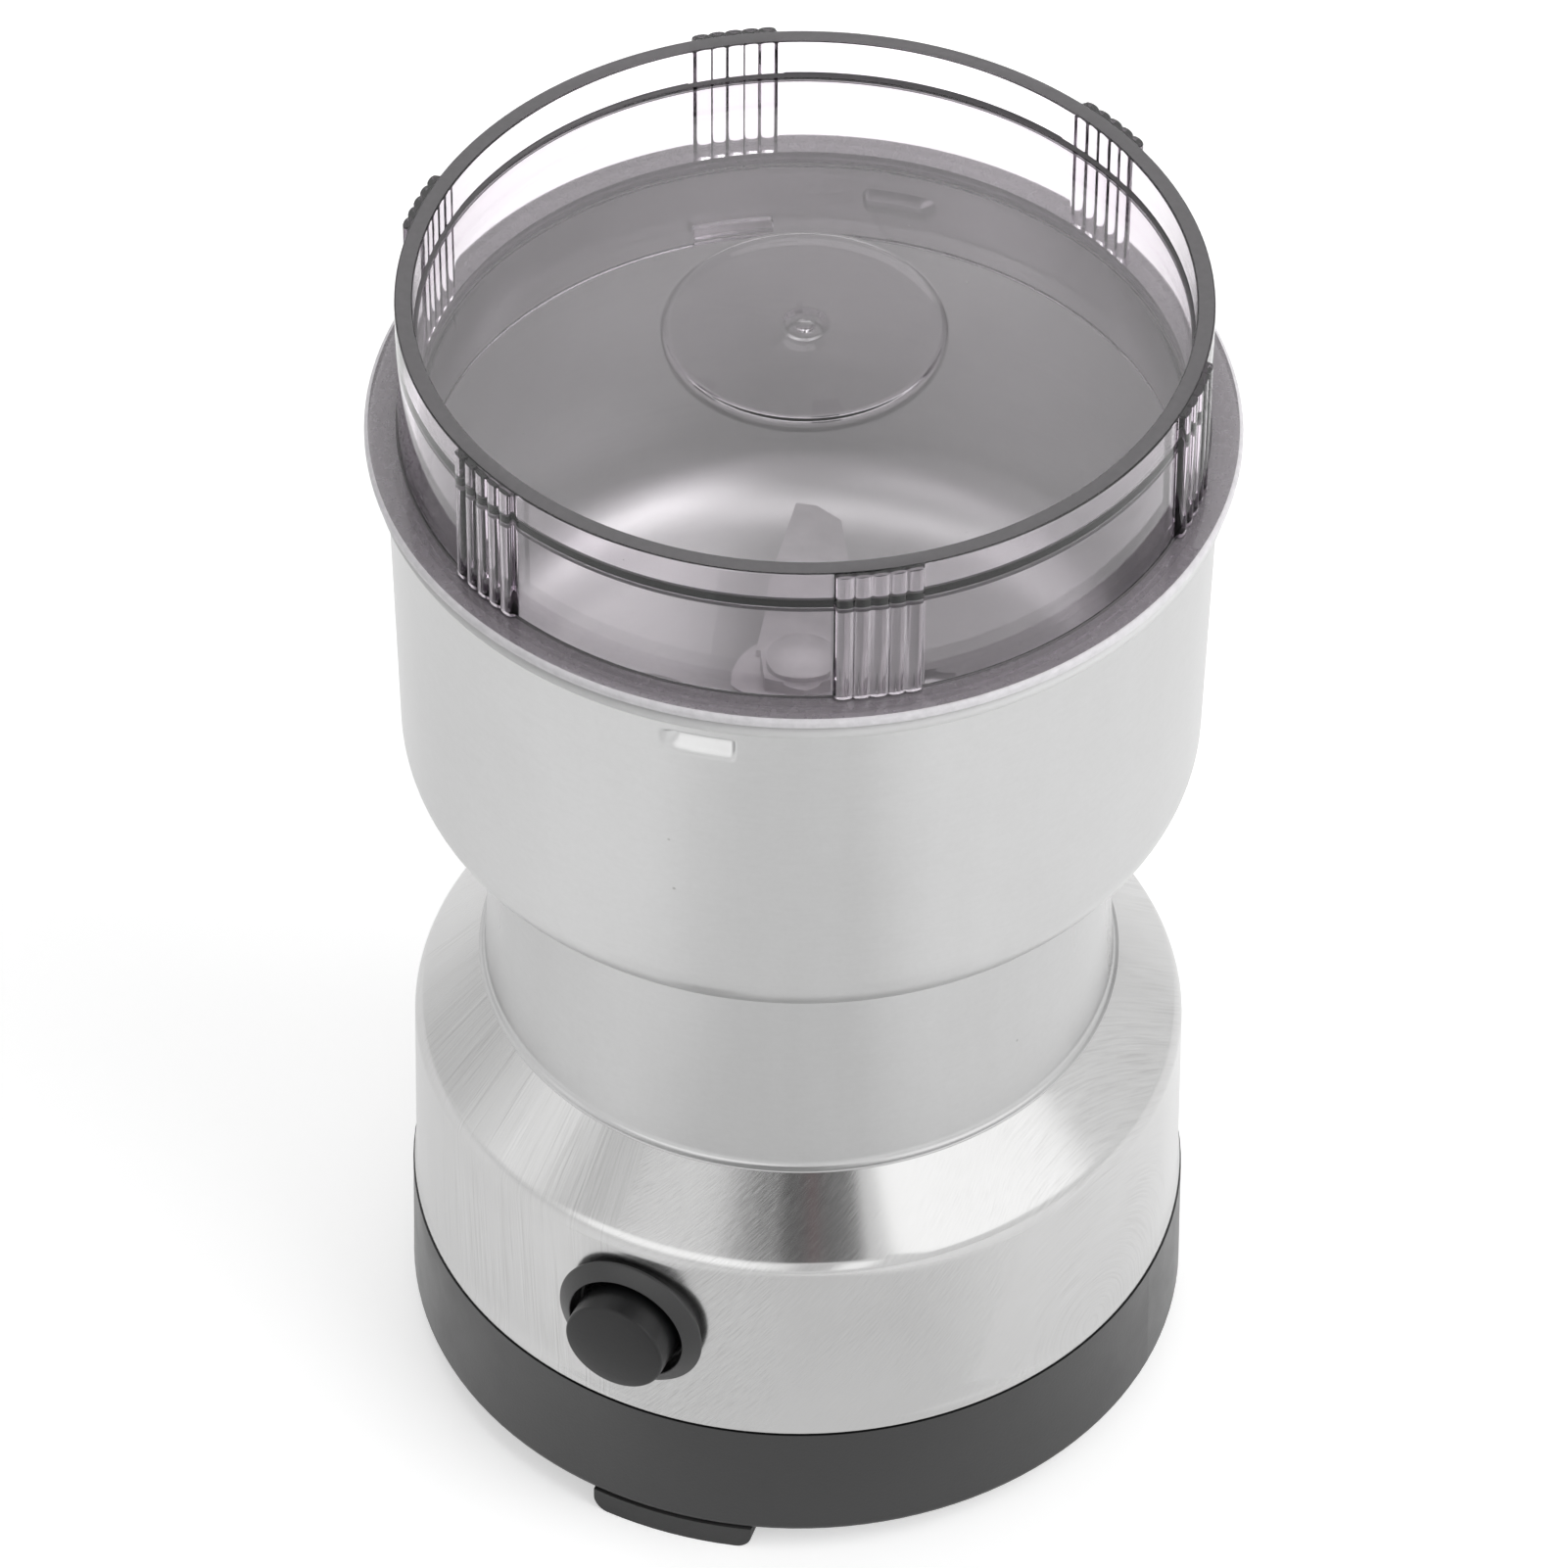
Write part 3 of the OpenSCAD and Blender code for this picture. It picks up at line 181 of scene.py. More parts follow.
class Finish:
    """A material, or the world, and the tree of nodes that makes it."""

    def __init__(self, name, kind="materials"):
        self.owner = getattr(bpy.data, kind).new(name)
        self.owner.use_nodes = True
        self.tree = self.owner.node_tree
        self.tree.nodes.clear()

    def node(self, kind, sockets=None, out=0, **settings):
        """Adds a node, makes its settings, fills its sockets, and gives one of its outputs."""
        made = self.tree.nodes.new("ShaderNode" + kind)
        for key, value in settings.items():
            setattr(made, key, value)
        for key, value in (sockets or {}).items():
            if isinstance(value, Wire):
                self.tree.links.new(value.socket, made.inputs[key])
            else:
                made.inputs[key].default_value = value
        return Wire(self, made.outputs[out]) if len(made.outputs) else None

    def place(self):
        """The point on the piece, in metres in the frame."""
        return self.node("TexCoord", out="Object")

    def split(self, vector):
        """The three parts of a vector or a colour."""
        outputs = self.node("SeparateXYZ", {0: vector}).socket.node.outputs
        return [Wire(self, output) for output in outputs]

    def around_axis(self):
        """The direction from the axis as x and y, the radius and the height."""
        x, y, z = self.split(self.place())
        never_zero = 1e-9
        radius = (x * x + y * y + never_zero).math("SQRT")
        return x / radius, y / radius, radius, z

    def rays(self, *kinds):
        """Whether a ray is of each kind named, as 1 or 0."""
        outputs = self.node("LightPath").socket.node.outputs
        return [Wire(self, outputs[f"Is {kind} Ray"]) for kind in kinds]

    def noise(self, vector, scale, detail, rough):
        return self.node("TexNoise", {
            "Vector": vector, "Scale": scale, "Detail": detail, "Roughness": rough})

    def clouds(self, scale, detail, rough):
        """Noise that is even in all directions; scale counts its clouds per metre."""
        return self.noise(self.place(), scale, detail, rough)

    def streaks(self, x, y, z, detail, rough):
        """Noise drawn out along some directions, by the scales already in x, y and z."""
        vector = self.node("CombineXYZ", {0: x, 1: y, 2: z})
        return self.noise(vector, 1, detail, rough)

    def specks(self, scale, edge, choice):
        """Small spots: edge is where they fade out, choice where cells begin to have one."""
        near = self.node("TexVoronoi", {"Vector": self.place(), "Scale": scale}, feature="F1")
        cell = Wire(self, near.socket.node.outputs["Color"])
        return self.remap(near, *edge, 1.0, 0.0) * self.remap(self.split(cell)[0], *choice)

    def remap(self, value, low, high, to_low=0.0, to_high=1.0, smooth=True):
        """Carries a value from one range to another; low above high makes it fall."""
        return self.node(
            "MapRange", {0: value, 1: low, 2: high, 3: to_low, 4: to_high},
            interpolation_type="SMOOTHSTEP" if smooth else "LINEAR")

    def ramp(self, value, *stops):
        """Colours by value; each stop is a position and a colour."""
        colour = self.node("ValToRGB", {0: value})
        elements = colour.socket.node.color_ramp.elements
        while len(elements) < len(stops):
            elements.new(1)
        for element, (position, shade) in zip(elements, stops):
            element.position = position
            element.color = shade
        return colour

    def blend(self, factor, first, second):
        return self.node("Mix", {0: factor, 6: first, 7: second}, out=2, data_type="RGBA")

    def bump(self, height, distance, strength):
        return self.node("Bump", {"Height": height, "Distance": distance, "Strength": strength})

    def close(self, **sockets):
        """Ends the tree in its output node and gives the material."""
        self.node("OutputMaterial", sockets)
        return self.owner

    def done(self, **values):
        """Closes the finish with the main shader; underscores stand for spaces."""
        sockets = {key.replace("_", " "): value for key, value in values.items()}
        return self.close(Surface=self.node("BsdfPrincipled", sockets))


def grey(level, warm=0.0):
    return (level * (1 + warm), level, level * (1 - warm), 1)


def tone(colour, factor=1.0):
    """A colour of three parts, made lighter or darker."""
    return (*(part * factor for part in colour), 1)


def shell_steel():
    """Stainless sheet: ruled lines at the left, slanting marks in front, arcs on the right."""
    f = Finish("shell_steel")
    ux, uy, radius, z = f.around_axis()
    turn = ux.math("ARCTAN2", uy * -1)
    around, down = turn * 0.047, z - radius
    ruled_fine, ruled_groups, hatched, arched = 3600, 420, 4200, 3400  # marks per metre
    middle_turn, middle_z = 1.30, 0.0225  # of the arcs

    ruled = around + down * 0.06
    lines = f.streaks(ruled * ruled_fine, down * 40, 0.0, 3, 0.75)
    groups = f.streaks(ruled * ruled_groups, down * 30, 3.0, 2, 0.5)
    slant = around - down * 0.707
    hatch = f.streaks(slant * hatched, turn * 14 + down * 130, 0.0, 3, 0.7)
    across, up = (turn - middle_turn) * (SHELL_R * MM), z - middle_z
    sweep = (across * across + up * up).math("SQRT") + f.clouds(60, 2, 0.5) * 0.0012
    arcs = f.streaks(sweep * arched, turn * 7, 0.0, 3, 0.7)

    # Where each kind of mark lies, by the direction in radians
    left = f.remap(turn, -0.04, -0.075) + f.remap(turn, 2.5, 2.9)
    right = f.remap(turn, 0.95, 1.2) * f.remap(turn, 2.9, 2.5)
    calm = f.remap(turn, 0.36, 0.42) * f.remap(turn, 1.15, 0.9)
    marks = lines * left + (1 - left) * (arcs * right + hatch * (1 - right))

    patches = f.remap(f.clouds(70, 2, 0.5), 0.35, 0.7, 0.35, 1.0)
    grouped = f.remap(groups, 0.4, 0.62, 0.25, 1.3)
    fade = (patches * (1 - left) + left * grouped) * (1 - calm * 0.6)
    level = (marks - 0.5) * fade * 1.15 + f.clouds(42, 4, 0.6) * 0.3 + 0.35
    colour = f.ramp(
        f.remap(level, 0.2, 0.8, smooth=False),
        (0, grey(0.45, 0.008)), (0.5, grey(0.565, 0.003)), (1, grey(0.63, 0.001)))
    return f.done(
        Base_Color=colour, Metallic=1.0,
        Roughness=f.remap(marks, 0.25, 0.75, 0.2, 0.26) - calm * 0.09,
        Normal=f.bump(marks * fade, 0.000007, 0.6))


def inside_steel_painted_light():
    """The bowl's inside: fine turning marks and cloudy wear from the spices, on greys lighter than
    the outside's steel as painted light.
    """
    f = Finish("inside_steel_painted_light")
    ux, uy, radius, z = f.around_axis()
    turns = f.streaks(ux * 4, uy * 4, z * 1500 + radius * 1500, 4, 0.6)
    clouds = f.clouds(32, 5, 0.6)
    level = turns * 0.25 + clouds * 0.75
    # painted light: greys well above the bowl outside's brighten the inside seen through the lid
    colour = f.ramp(level, (NOISE_LOW, grey(0.70, 0.002)), (NOISE_HIGH, grey(0.80, 0.001)))
    return f.done(
        Base_Color=colour, Metallic=1.0,
        Roughness=f.remap(level, NOISE_LOW, NOISE_HIGH, 0.34, 0.42),
        Normal=f.bump(turns * 0.4 + clouds * 0.6, 0.00001, 0.3))


def satin_steel(name, low, high, rough):
    """Drawn stainless sheet with a satin skin, fine grain around it, and tiny pits."""
    f = Finish(name)
    ux, uy, radius, z = f.around_axis()
    grain = f.clouds(1300, 3, 0.7)
    turns = f.streaks(ux * 14, uy * 14, z * 1900 + radius * 900, 3, 0.6)
    bands = f.streaks(ux * 4.5, uy * 4.5, z * 6, 3, 0.5)
    pit = f.specks(170.0, (0.02, 0.05), (0.82, 0.86))
    level = f.remap(
        grain * 0.2 + turns * 0.15 + bands * 0.4 + f.clouds(38, 4, 0.55) * 0.25,
        NOISE_LOW, NOISE_HIGH, smooth=False)
    colour = f.ramp(level, (0, grey(low, 0.002)), (1, grey(high, -0.002)))
    return f.done(
        Base_Color=f.blend(pit * 0.6, colour, grey(low * 0.45, 0.03)), Metallic=1.0,
        Roughness=f.remap(bands, NOISE_LOW, NOISE_HIGH, rough - 0.03, rough + 0.03),
        Normal=f.bump(grain * 0.3 + turns * 0.2 - pit, 0.00001, 0.4))


def moulded(name, level, rough, blue=0.0, grain=0.00003, bend=1.56):
    """Dark moulded plastic with a fine spark-eroded grain and faint cloudy wear."""
    f = Finish(name)
    fine, clouds = f.clouds(2600, 3, 0.6), f.clouds(60, 4, 0.6)
    dark, light = (
        (level * share, level * share, level * (share + blue), 1) for share in (0.86, 1.18))
    return f.done(
        Base_Color=f.ramp(clouds * 0.7 + fine * 0.3, (NOISE_LOW, dark), (NOISE_HIGH, light)),
        Roughness=f.remap(clouds, NOISE_LOW, NOISE_HIGH, rough - 0.05, rough + 0.06), IOR=bend,
        Normal=f.bump(fine, grain, 0.6))


def clear_plastic(name, frost=0, painted_frost_tone=(0.125, 0.118, 0.125)):
    """Clear moulded plastic, violet in its thickness, with dust; frost is how much a frosted tone
    hides it, which on the lid is painted shade on the rim and the flange's top and a painted
    highlight on the flange's edge.
    """
    f = Finish(name)
    height = f.split(f.place())[2]
    waves = f.clouds(55, 2, 0.4) * f.remap(height, 0.1425, 0.1445, 1.0, 0.15)
    grain = f.clouds(900, 3, 0.6)
    dust = f.specks(290.0, (0.015, 0.035), (0.70, 0.72))
    surface = f.node("BsdfPrincipled", {
        "Base Color": (1, 1, 1, 1), "IOR": 1.55, "Transmission Weight": 1.0,
        "Roughness": f.remap(grain, NOISE_LOW, NOISE_HIGH, 0.01, 0.03),
        "Normal": f.bump(waves, 0.0002, 0.25)})
    # painted light: the frosted tone stands in for the dark bands and bright edge of the clear
    # lid; the other branch is real dust
    if frost:
        cover = dust * 0.5 * (1 - frost) + frost
        shade = f.blend(grain, tone(painted_frost_tone, 0.8), tone(painted_frost_tone, 1.2))
        dust_and_painted_frost = f.node("BsdfPrincipled", {"Base Color": shade, "Roughness": 0.35})
    else:
        cover = dust * 0.8
        dust_and_painted_frost = f.node("BsdfDiffuse", {"Color": grey(0.8)})
    skin = f.node("MixShader", {0: cover, 1: surface, 2: dust_and_painted_frost})
    volume = f.node("VolumeAbsorption", {"Color": (0.33, 0.18, 0.33, 1), "Density": 100.0})
    return f.close(Surface=skin, Volume=volume)


def metal(name, colour, rough, scale=900.0, share=1.0):
    """A plain worked metal with small marks."""
    f = Finish(name)
    marks = f.clouds(scale, 4, 0.6)
    return f.done(
        Base_Color=f.ramp(marks, (NOISE_LOW, tone(colour, 0.88)), (NOISE_HIGH, tone(colour))),
        Roughness=f.remap(marks, NOISE_LOW, NOISE_HIGH, rough - 0.05, rough + 0.08),
        Metallic=share, Normal=f.bump(marks, 0.00002, 0.6))


# Shapes

def begin():
    """Leaves nothing selected and no piece open for editing."""
    if bpy.context.object and bpy.context.object.mode != "OBJECT":
        bpy.ops.object.mode_set(mode="OBJECT")
    bpy.ops.object.select_all(action="DESELECT")


def take(obj):
    """Selects this piece alone."""
    begin()
    bpy.context.view_layer.objects.active = obj
    obj.select_set(True)


def edit(obj):
    """Opens a piece for editing its points."""
    take(obj)
    bpy.ops.object.mode_set(mode="EDIT")
    bpy.ops.mesh.select_mode(type="VERT")


def pick(obj, test):
    """Selects the points of the open piece whose place in millimetres passes the test."""
    bpy.ops.mesh.select_all(action="DESELECT")
    bpy.ops.object.mode_set(mode="OBJECT")
    for point in obj.data.vertices:
        point.select = bool(test(point.co / MM))
    bpy.ops.object.mode_set(mode="EDIT")


def apply(obj, kind, **settings):
    """Puts a modifier on a piece and applies it."""
    modifier = obj.modifiers.new(kind.lower(), kind)
    for key, value in settings.items():
        setattr(modifier, key, value)
    take(obj)
    bpy.ops.object.modifier_apply(modifier=modifier.name)


def smooth(obj, sharp=40):
    """Shades a piece smooth, except where faces meet at more than so many degrees."""
    take(obj)
    bpy.ops.object.shade_smooth_by_angle(angle=radians(sharp))


def angle_of(point):
    """A point's direction in degrees, counted from the button's."""
    return degrees(atan2(point.x, -point.y))


def turn_from(angle, middle, count):
    """How far an angle lies from the nearest of count even directions, in degrees, signed."""
    step = 360 / count
    return (angle - middle + step / 2) % step - step / 2


def thinned(steps, every, middle, count, span):
    """Says which of a ring's points stay: all near its features, one in so many elsewhere."""
    return lambda angle: (
        abs(turn_from(angle, middle, count)) < span or round(angle * steps / 360) % every == 0)


def ring_of_points(name, radius, height, steps, keep):
    """A circle of points; keep says which of them stay, by their angle from the button."""
    begin()
    bpy.ops.mesh.primitive_circle_add(
        vertices=steps, radius=radius * MM, location=(0, 0, height * MM))
    obj = bpy.context.object
    obj.name = obj.data.name = name
    bpy.ops.object.transform_apply(location=True, rotation=True, scale=True)
    if keep:
        edit(obj)
        pick(obj, lambda p: not keep(angle_of(p) % 360))
        bpy.ops.mesh.dissolve_verts()
    return obj


def turned(name, outline, steps, keep=None, solid=False, sharp=40):
    """A piece turned about the axis: a ring extruded from each point of its outline to the next.

    A solid piece is closed to a point at both ends of its outline. Any other outline that comes
    back to its start makes a closed wall.
    """
    first_radius, first_height = radius, height = outline[0]
    obj = ring_of_points(name, radius, height, steps, keep)
    edit(obj)
    bpy.ops.mesh.select_all(action="SELECT")
    for next_radius, next_height in outline[1:]:
        bpy.ops.mesh.extrude_edges_move(
            TRANSFORM_OT_translate={"value": (0, 0, (next_height - height) * MM)})
        scale = next_radius / radius
        bpy.ops.transform.resize(
            value=(scale, scale, 1), center_override=(0, 0, next_height * MM))
        radius, height = next_radius, next_height
    if solid:
        bpy.ops.mesh.merge(type="CENTER")
        pick(obj, lambda p: (
            abs(p.z - first_height) < SLACK and abs(hypot(p.x, p.y) - first_radius) < SLACK))
        bpy.ops.mesh.merge(type="CENTER")
    bpy.ops.mesh.select_all(action="SELECT")
    bpy.ops.mesh.remove_doubles(threshold=0.00001)
    bpy.ops.mesh.normals_make_consistent(inside=False)
    smooth(obj, sharp)
    return obj


def arc(x, z, radius, start, end, count, rise=None):
    """Points on an arc about x and z, from one angle to another; an oval has another rise."""
    angles = [radians(start + (end - start) * i / count) for i in range(count + 1)]
    return [(x + radius * cos(a), z + (rise or radius) * sin(a)) for a in angles]


def along(first, last, count):
    """Points that divide a straight line, without its ends."""
    return [
        (first[0] + (last[0] - first[0]) * i / count, first[1] + (last[1] - first[1]) * i / count)
        for i in range(1, count)]


def press(obj, weight_of, depth):
    """Moves a wall along its own normals, by a weight that depends on the place."""
    begin()
    group = obj.vertex_groups.new(name="press")
    for point in obj.data.vertices:
        weight = weight_of(point.co / MM)
        if weight > 0:
            group.add([point.index], min(1.0, weight), "REPLACE")
    apply(
        obj, "DISPLACE", vertex_group="press", strength=depth * MM, mid_level=0.0,
        direction="NORMAL")
    obj.vertex_groups.clear()


def soft_step(value):
    """Rises smoothly from 0 to 1 while the value does."""
    value = max(0.0, min(1.0, value))
    return value * value * (3 - 2 * value)


def wear(obj, finishes, body, *nodes):
    """Gives a piece its finishes, its body and the nodes it stands for."""
    obj.data.materials.clear()
    for finish in finishes:
        obj.data.materials.append(finish)
    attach(obj, body)
    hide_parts(*nodes)


# Base shell

def make_shell(finish):
    """The shell: a hemmed wall, a rounded crest, and a shoulder that slopes up to the neck."""
    hole, hem = NECK_R + GAP, SHELL_R + HEM_OUT
    reach, rise = hole - CREST_X, NECK_Z0 - CREST_Z
    top = degrees(atan2(rise, reach) - acos(CREST_R / hypot(reach, rise)))
    outside = [(hem, SHELL_Z0), (hem, SHELL_Z0 + 0.8), (SHELL_R + 0.12, SHELL_Z0 + 1.3)]
    outside += [(SHELL_R, SHELL_Z0 + HEM_H)]
    outside += along(outside[-1], (CREST_X + CREST_R, CREST_Z), 12)
    outside += arc(CREST_X, CREST_Z, CREST_R, 0, top, 16)
    outside += along(outside[-1], (hole, NECK_Z0), 8) + [(hole, NECK_Z0)]
    inside = [(hem - SHEET, SHELL_Z0), (SHELL_R - SHEET, SHELL_Z0 + HEM_H)]
    inside += arc(CREST_X, CREST_Z, CREST_R - SHEET, 0, top, 6) + [(hole, NECK_Z0 - SHEET)]
    shell = turned("base_shell_sheet", outside + inside[::-1] + [outside[0]], 288)

    cut_y, cut_depth = -47, 40
    begin()
    bpy.ops.mesh.primitive_cylinder_add(
        vertices=96, radius=(BARREL_R + GAP) * MM, depth=cut_depth * MM,
        location=(0, cut_y * MM, BUTTON_Z * MM), rotation=(pi / 2, 0, 0))
    cutter = bpy.context.object
    apply(shell, "BOOLEAN", operation="DIFFERENCE", object=cutter, solver="EXACT")
    bpy.data.objects.remove(cutter)
    smooth(shell, 35)
    wear(shell, [finish], "housing", "base_shell")


# Neck

def make_neck(finish):
    """The neck: a tapered tube that flares to a small rolled foot."""
    top_r, foot, roll = NECK_R - NECK_TAPER, NECK_Z0 + GAP, 0.18
    top_z = bowl_under(top_r) - GAP
    outside = [(NECK_R, NECK_Z0 - NECK_REACH), (NECK_R, foot), (NECK_R + 0.3, foot)]
    outside += arc(NECK_R + 0.62, foot + roll, roll, -90, 70, 6)
    outside += arc(NECK_R + 0.69, foot + 1.45, 0.73, 270, 180, 8, rise=1.1)
    outside += along(outside[-1], (top_r, top_z), 10) + [(top_r, top_z)]
    inside = [(NECK_R - SHEET, NECK_Z0 - NECK_REACH), (NECK_R - SHEET, NECK_Z0)]
    inside += [(top_r - SHEET, top_z)]
    neck = turned("neck_tube", outside + inside[::-1] + [outside[0]], 256)
    wear(neck, [finish], "housing", "neck_sleeve")


# Bowl

def bowl_under(radius):
    """Height of the bowl's rounded underside at a radius."""
    share = max(0.0, radius - (BOWL_R - BOWL_ROUND_W)) / BOWL_ROUND_W
    return BOWL_Z0 + BOWL_ROUND_H * (1 - sqrt(1 - share * share))


def dimple_weight(point):
    """A lock dimple pressed in from outside, with a steep ledge above and a long slope below."""
    turn = turn_from(angle_of(point), DIMPLE_AZ, DIMPLE_COUNT)
    across, up = radians(turn) * (BOWL_R + BOWL_FLARE), point.z - DIMPLE_Z
    edge = DIMPLE_W / 2 + 0.3
    side = soft_step((edge - across) / DIMPLE_STEEP) * soft_step((edge + across) / DIMPLE_GENTLE)
    ledge = soft_step((DIMPLE_H / 2 + 0.4 - up) / DIMPLE_LEDGE)
    slope = soft_step((DIMPLE_H / 2 + 0.1 + up) / DIMPLE_SLOPE)
    return side * ledge * slope


def make_bowl(outer, inner):
    """The bowl: one deep-drawn sheet with two pressed dimples, and its rolled rim."""
    wall_foot = (BOWL_R, BOWL_Z0 + BOWL_ROUND_H)
    wall_top = (BOWL_R + BOWL_FLARE, BEAD_Z)

    def wall_at(z):
        share = (z - wall_foot[1]) / (wall_top[1] - wall_foot[1])
        return (wall_foot[0] + (wall_top[0] - wall_foot[0]) * share, z)

    floor_r = BOWL_R - BOWL_ROUND_W
    outline = [(HOLE_R, BOWL_Z0)] + along((HOLE_R, BOWL_Z0), (floor_r, BOWL_Z0), 8)
    outline += arc(
        floor_r, BOWL_Z0 + BOWL_ROUND_H, BOWL_ROUND_W, -90, 0, 28, rise=BOWL_ROUND_H)
    outline += [wall_at(z) for z in (104, 110, 116, 122, 127, 130, 131.5)]
    outline += [wall_at(132.5 + i * 0.25) for i in range(23)]  # close rings at the dimples
    outline += [wall_at(139.3), wall_top]
    steps = 1440
    bowl = turned(
        "bowl_sheet", outline, steps, thinned(steps, 5, DIMPLE_AZ, DIMPLE_COUNT, 8))
    press(bowl, dimple_weight, -DIMPLE_DEPTH)
    bowl.data.materials.append(outer)
    bowl.data.materials.append(inner)
    apply(
        bowl, "SOLIDIFY", thickness=SHEET * MM, offset=-1.0, use_even_offset=True,
        material_offset=1)
    smooth(bowl, 50)
    bead_centre = BOWL_R + BOWL_FLARE - SHEET + BEAD_R
    bead = turned("bowl_bead", arc(bead_centre, BEAD_Z, BEAD_R, -180, 180, 20), 288)
    take(bowl)
    bead.select_set(True)
    bpy.ops.object.join()
    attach(bowl, "housing")
    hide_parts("bowl")


# Lid

def rib_weight(point):
    """How far a point of the lid's wall stands out in the ribs, from 0 to 1."""
    if point.z < RIB_FOOT_Z - SLACK or hypot(point.x, point.y) < LID_R - SLACK:
        return 0
    across = abs(radians(turn_from(angle_of(point), GRIP_AZ, GRIP_COUNT))) * LID_R
    past = across - RIB_COUNT * RIB_PITCH / 2
    if past > RIB_FLANK:
        return 0
    if past > 0:
        return (1 - RIB_DIP) * (1 - past / RIB_FLANK)
    share = (across / RIB_PITCH + RIB_COUNT / 2) % 1 * 2 - 1
    return 1 - RIB_DIP * (1 - sqrt(max(0.0, 1 - share * share)))


def lug_weight(point):
    """Where the skirt stands out in its two lock lugs."""
    if point.z > SKIRT_Z0 + LUG_H + SLACK or hypot(point.x, point.y) < SKIRT_R - SLACK:
        return 0
    return abs(turn_from(angle_of(point), LUG_AZ, DIMPLE_COUNT)) < LUG_SPAN / 2


def lid_slot(face):
    """Which of the lid's finishes a face shows, by the place of its middle.

    1 is for the rim, the disc's corner and the wall's foot, a dark frost as painted shade, 2 for
    the flange's edge, a light frost as a painted highlight, 3 for the flange's top, a grey frost
    as painted shade, and 0 for the rest.
    """
    out, up = hypot(face.center.x, face.center.y) / MM, face.center.z / MM
    rim = up > LID_Z1 - SLACK
    corner = (
        LID_IN_R - DISC_ROUND < out < LID_IN_R - SLACK
        and DISC_Z0 - DISC_ROUND < up < DISC_Z1 + DISC_ROUND)
    on_flange = FLANGE_Z1 - SLACK < up < RIB_FOOT_Z
    foot = on_flange and LID_R + SLACK < out < LID_R + FOOT_REACH
    if rim or corner or foot:
        return 1
    if out > FLANGE_R - FLANGE_ROUND:
        return 2
    return 3 if on_flange and out > LID_R + FOOT_REACH else 0


def make_lid(finishes):
    """The lid: one outline from the disc's underside, round skirt, flange and rim, to its top."""
    inside = [(radius, DISC_Z0) for radius in (AXIS_R, 10, 25, 38)]
    inside += arc(LID_IN_R - DISC_ROUND, DISC_Z0 - DISC_ROUND, DISC_ROUND, 90, 0, 5)
    inside += [(LID_IN_R, z) for z in (150, 146, FLANGE_Z0 + 0.5)]

    skirt = [(LID_IN_R - 0.1, FLANGE_Z0), (SKIRT_IN_R, FLANGE_Z0 - 1.5), (SKIRT_IN_R, 136)]
    skirt += arc(SKIRT_IN_R + SKIRT_ROUND, SKIRT_Z0 + SKIRT_ROUND, SKIRT_ROUND, 180, 270, 4)
    skirt += arc(SKIRT_R - SKIRT_ROUND, SKIRT_Z0 + SKIRT_ROUND, SKIRT_ROUND, 270, 360, 4)
    lug_top = SKIRT_Z0 + LUG_H
    skirt += [(SKIRT_R, z) for z in (lug_top, lug_top + 0.04, 136, FLANGE_Z0 - 0.3)]

    flange = [(SKIRT_R + 0.3, FLANGE_Z0)]
    flange += arc(FLANGE_R - FLANGE_UNDER, FLANGE_Z0 + FLANGE_UNDER, FLANGE_UNDER, -90, 0, 4)
    flange += arc(FLANGE_R - FLANGE_ROUND, FLANGE_Z1 - FLANGE_ROUND, FLANGE_ROUND, 0, 84, 6)
    flange += [(LID_R + 1.4, FLANGE_Z1 + 0.06)]
    flange += arc(LID_R + FOOT_ROUND, FLANGE_Z1 + 0.33, FOOT_ROUND, -92, -175, 4)

    wall = [(LID_R, z) for z in (RIB_FOOT_Z, 147, 152, 157, LID_Z1 - RIM_ROUND)]
    wall += arc(LID_R - RIM_ROUND, LID_Z1 - RIM_ROUND, RIM_ROUND, 26, 90, 4)
    wall += arc(LID_IN_R + RIM_ROUND, LID_Z1 - RIM_ROUND, RIM_ROUND, 90, 180, 5)

    disc = arc(LID_IN_R - DISC_ROUND, DISC_Z1 + DISC_ROUND, DISC_ROUND, 0, -90, 6)
    disc += [(radius, DISC_Z1) for radius in (38, 28, PLATEAU_R + 0.6)]
    top = DISC_Z1 + PLATEAU_H
    plateau = [
        (PLATEAU_R + 0.2, DISC_Z1 + 0.06), (PLATEAU_R - 0.1, DISC_Z1 + PLATEAU_H * 0.5),
        (PLATEAU_R - 0.4, top - 0.06), (PLATEAU_R - 0.8, top), (10, top)]
    gate = [
        (GATE_R + 0.5, top), (GATE_R + 0.1, top - 0.05), (GATE_R - 0.3, top - 0.25),
        (GATE_R - 0.8, top - 0.35), (1.1, top - 0.35), (0.9, top - 0.15), (AXIS_R, top - 0.08)]

    steps = 2160
    lid = turned(
        "lid_moulding", inside + skirt + flange + wall + disc + plateau + gate, steps,
        thinned(steps, 8, GRIP_AZ, GRIP_COUNT, 6.6), solid=True, sharp=45)
    press(lid, rib_weight, RIB_H)
    press(lid, lug_weight, LUG_R - SKIRT_R)
    smooth(lid, 50)
    apply(lid, "WEIGHTED_NORMAL", keep_sharp=True)
    wear(lid, finishes, "lid", "lid")
    for face in lid.data.polygons:
        face.material_index = lid_slot(face)


# Button

def lie_forward(obj, y):
    """Turns a piece made about the axis so that its top faces the button's side, at y."""
    place = Matrix.Translation((0, y * MM, BUTTON_Z * MM))
    obj.data.transform(place @ Matrix.Rotation(pi / 2, 4, "X"))
    obj.data.update()


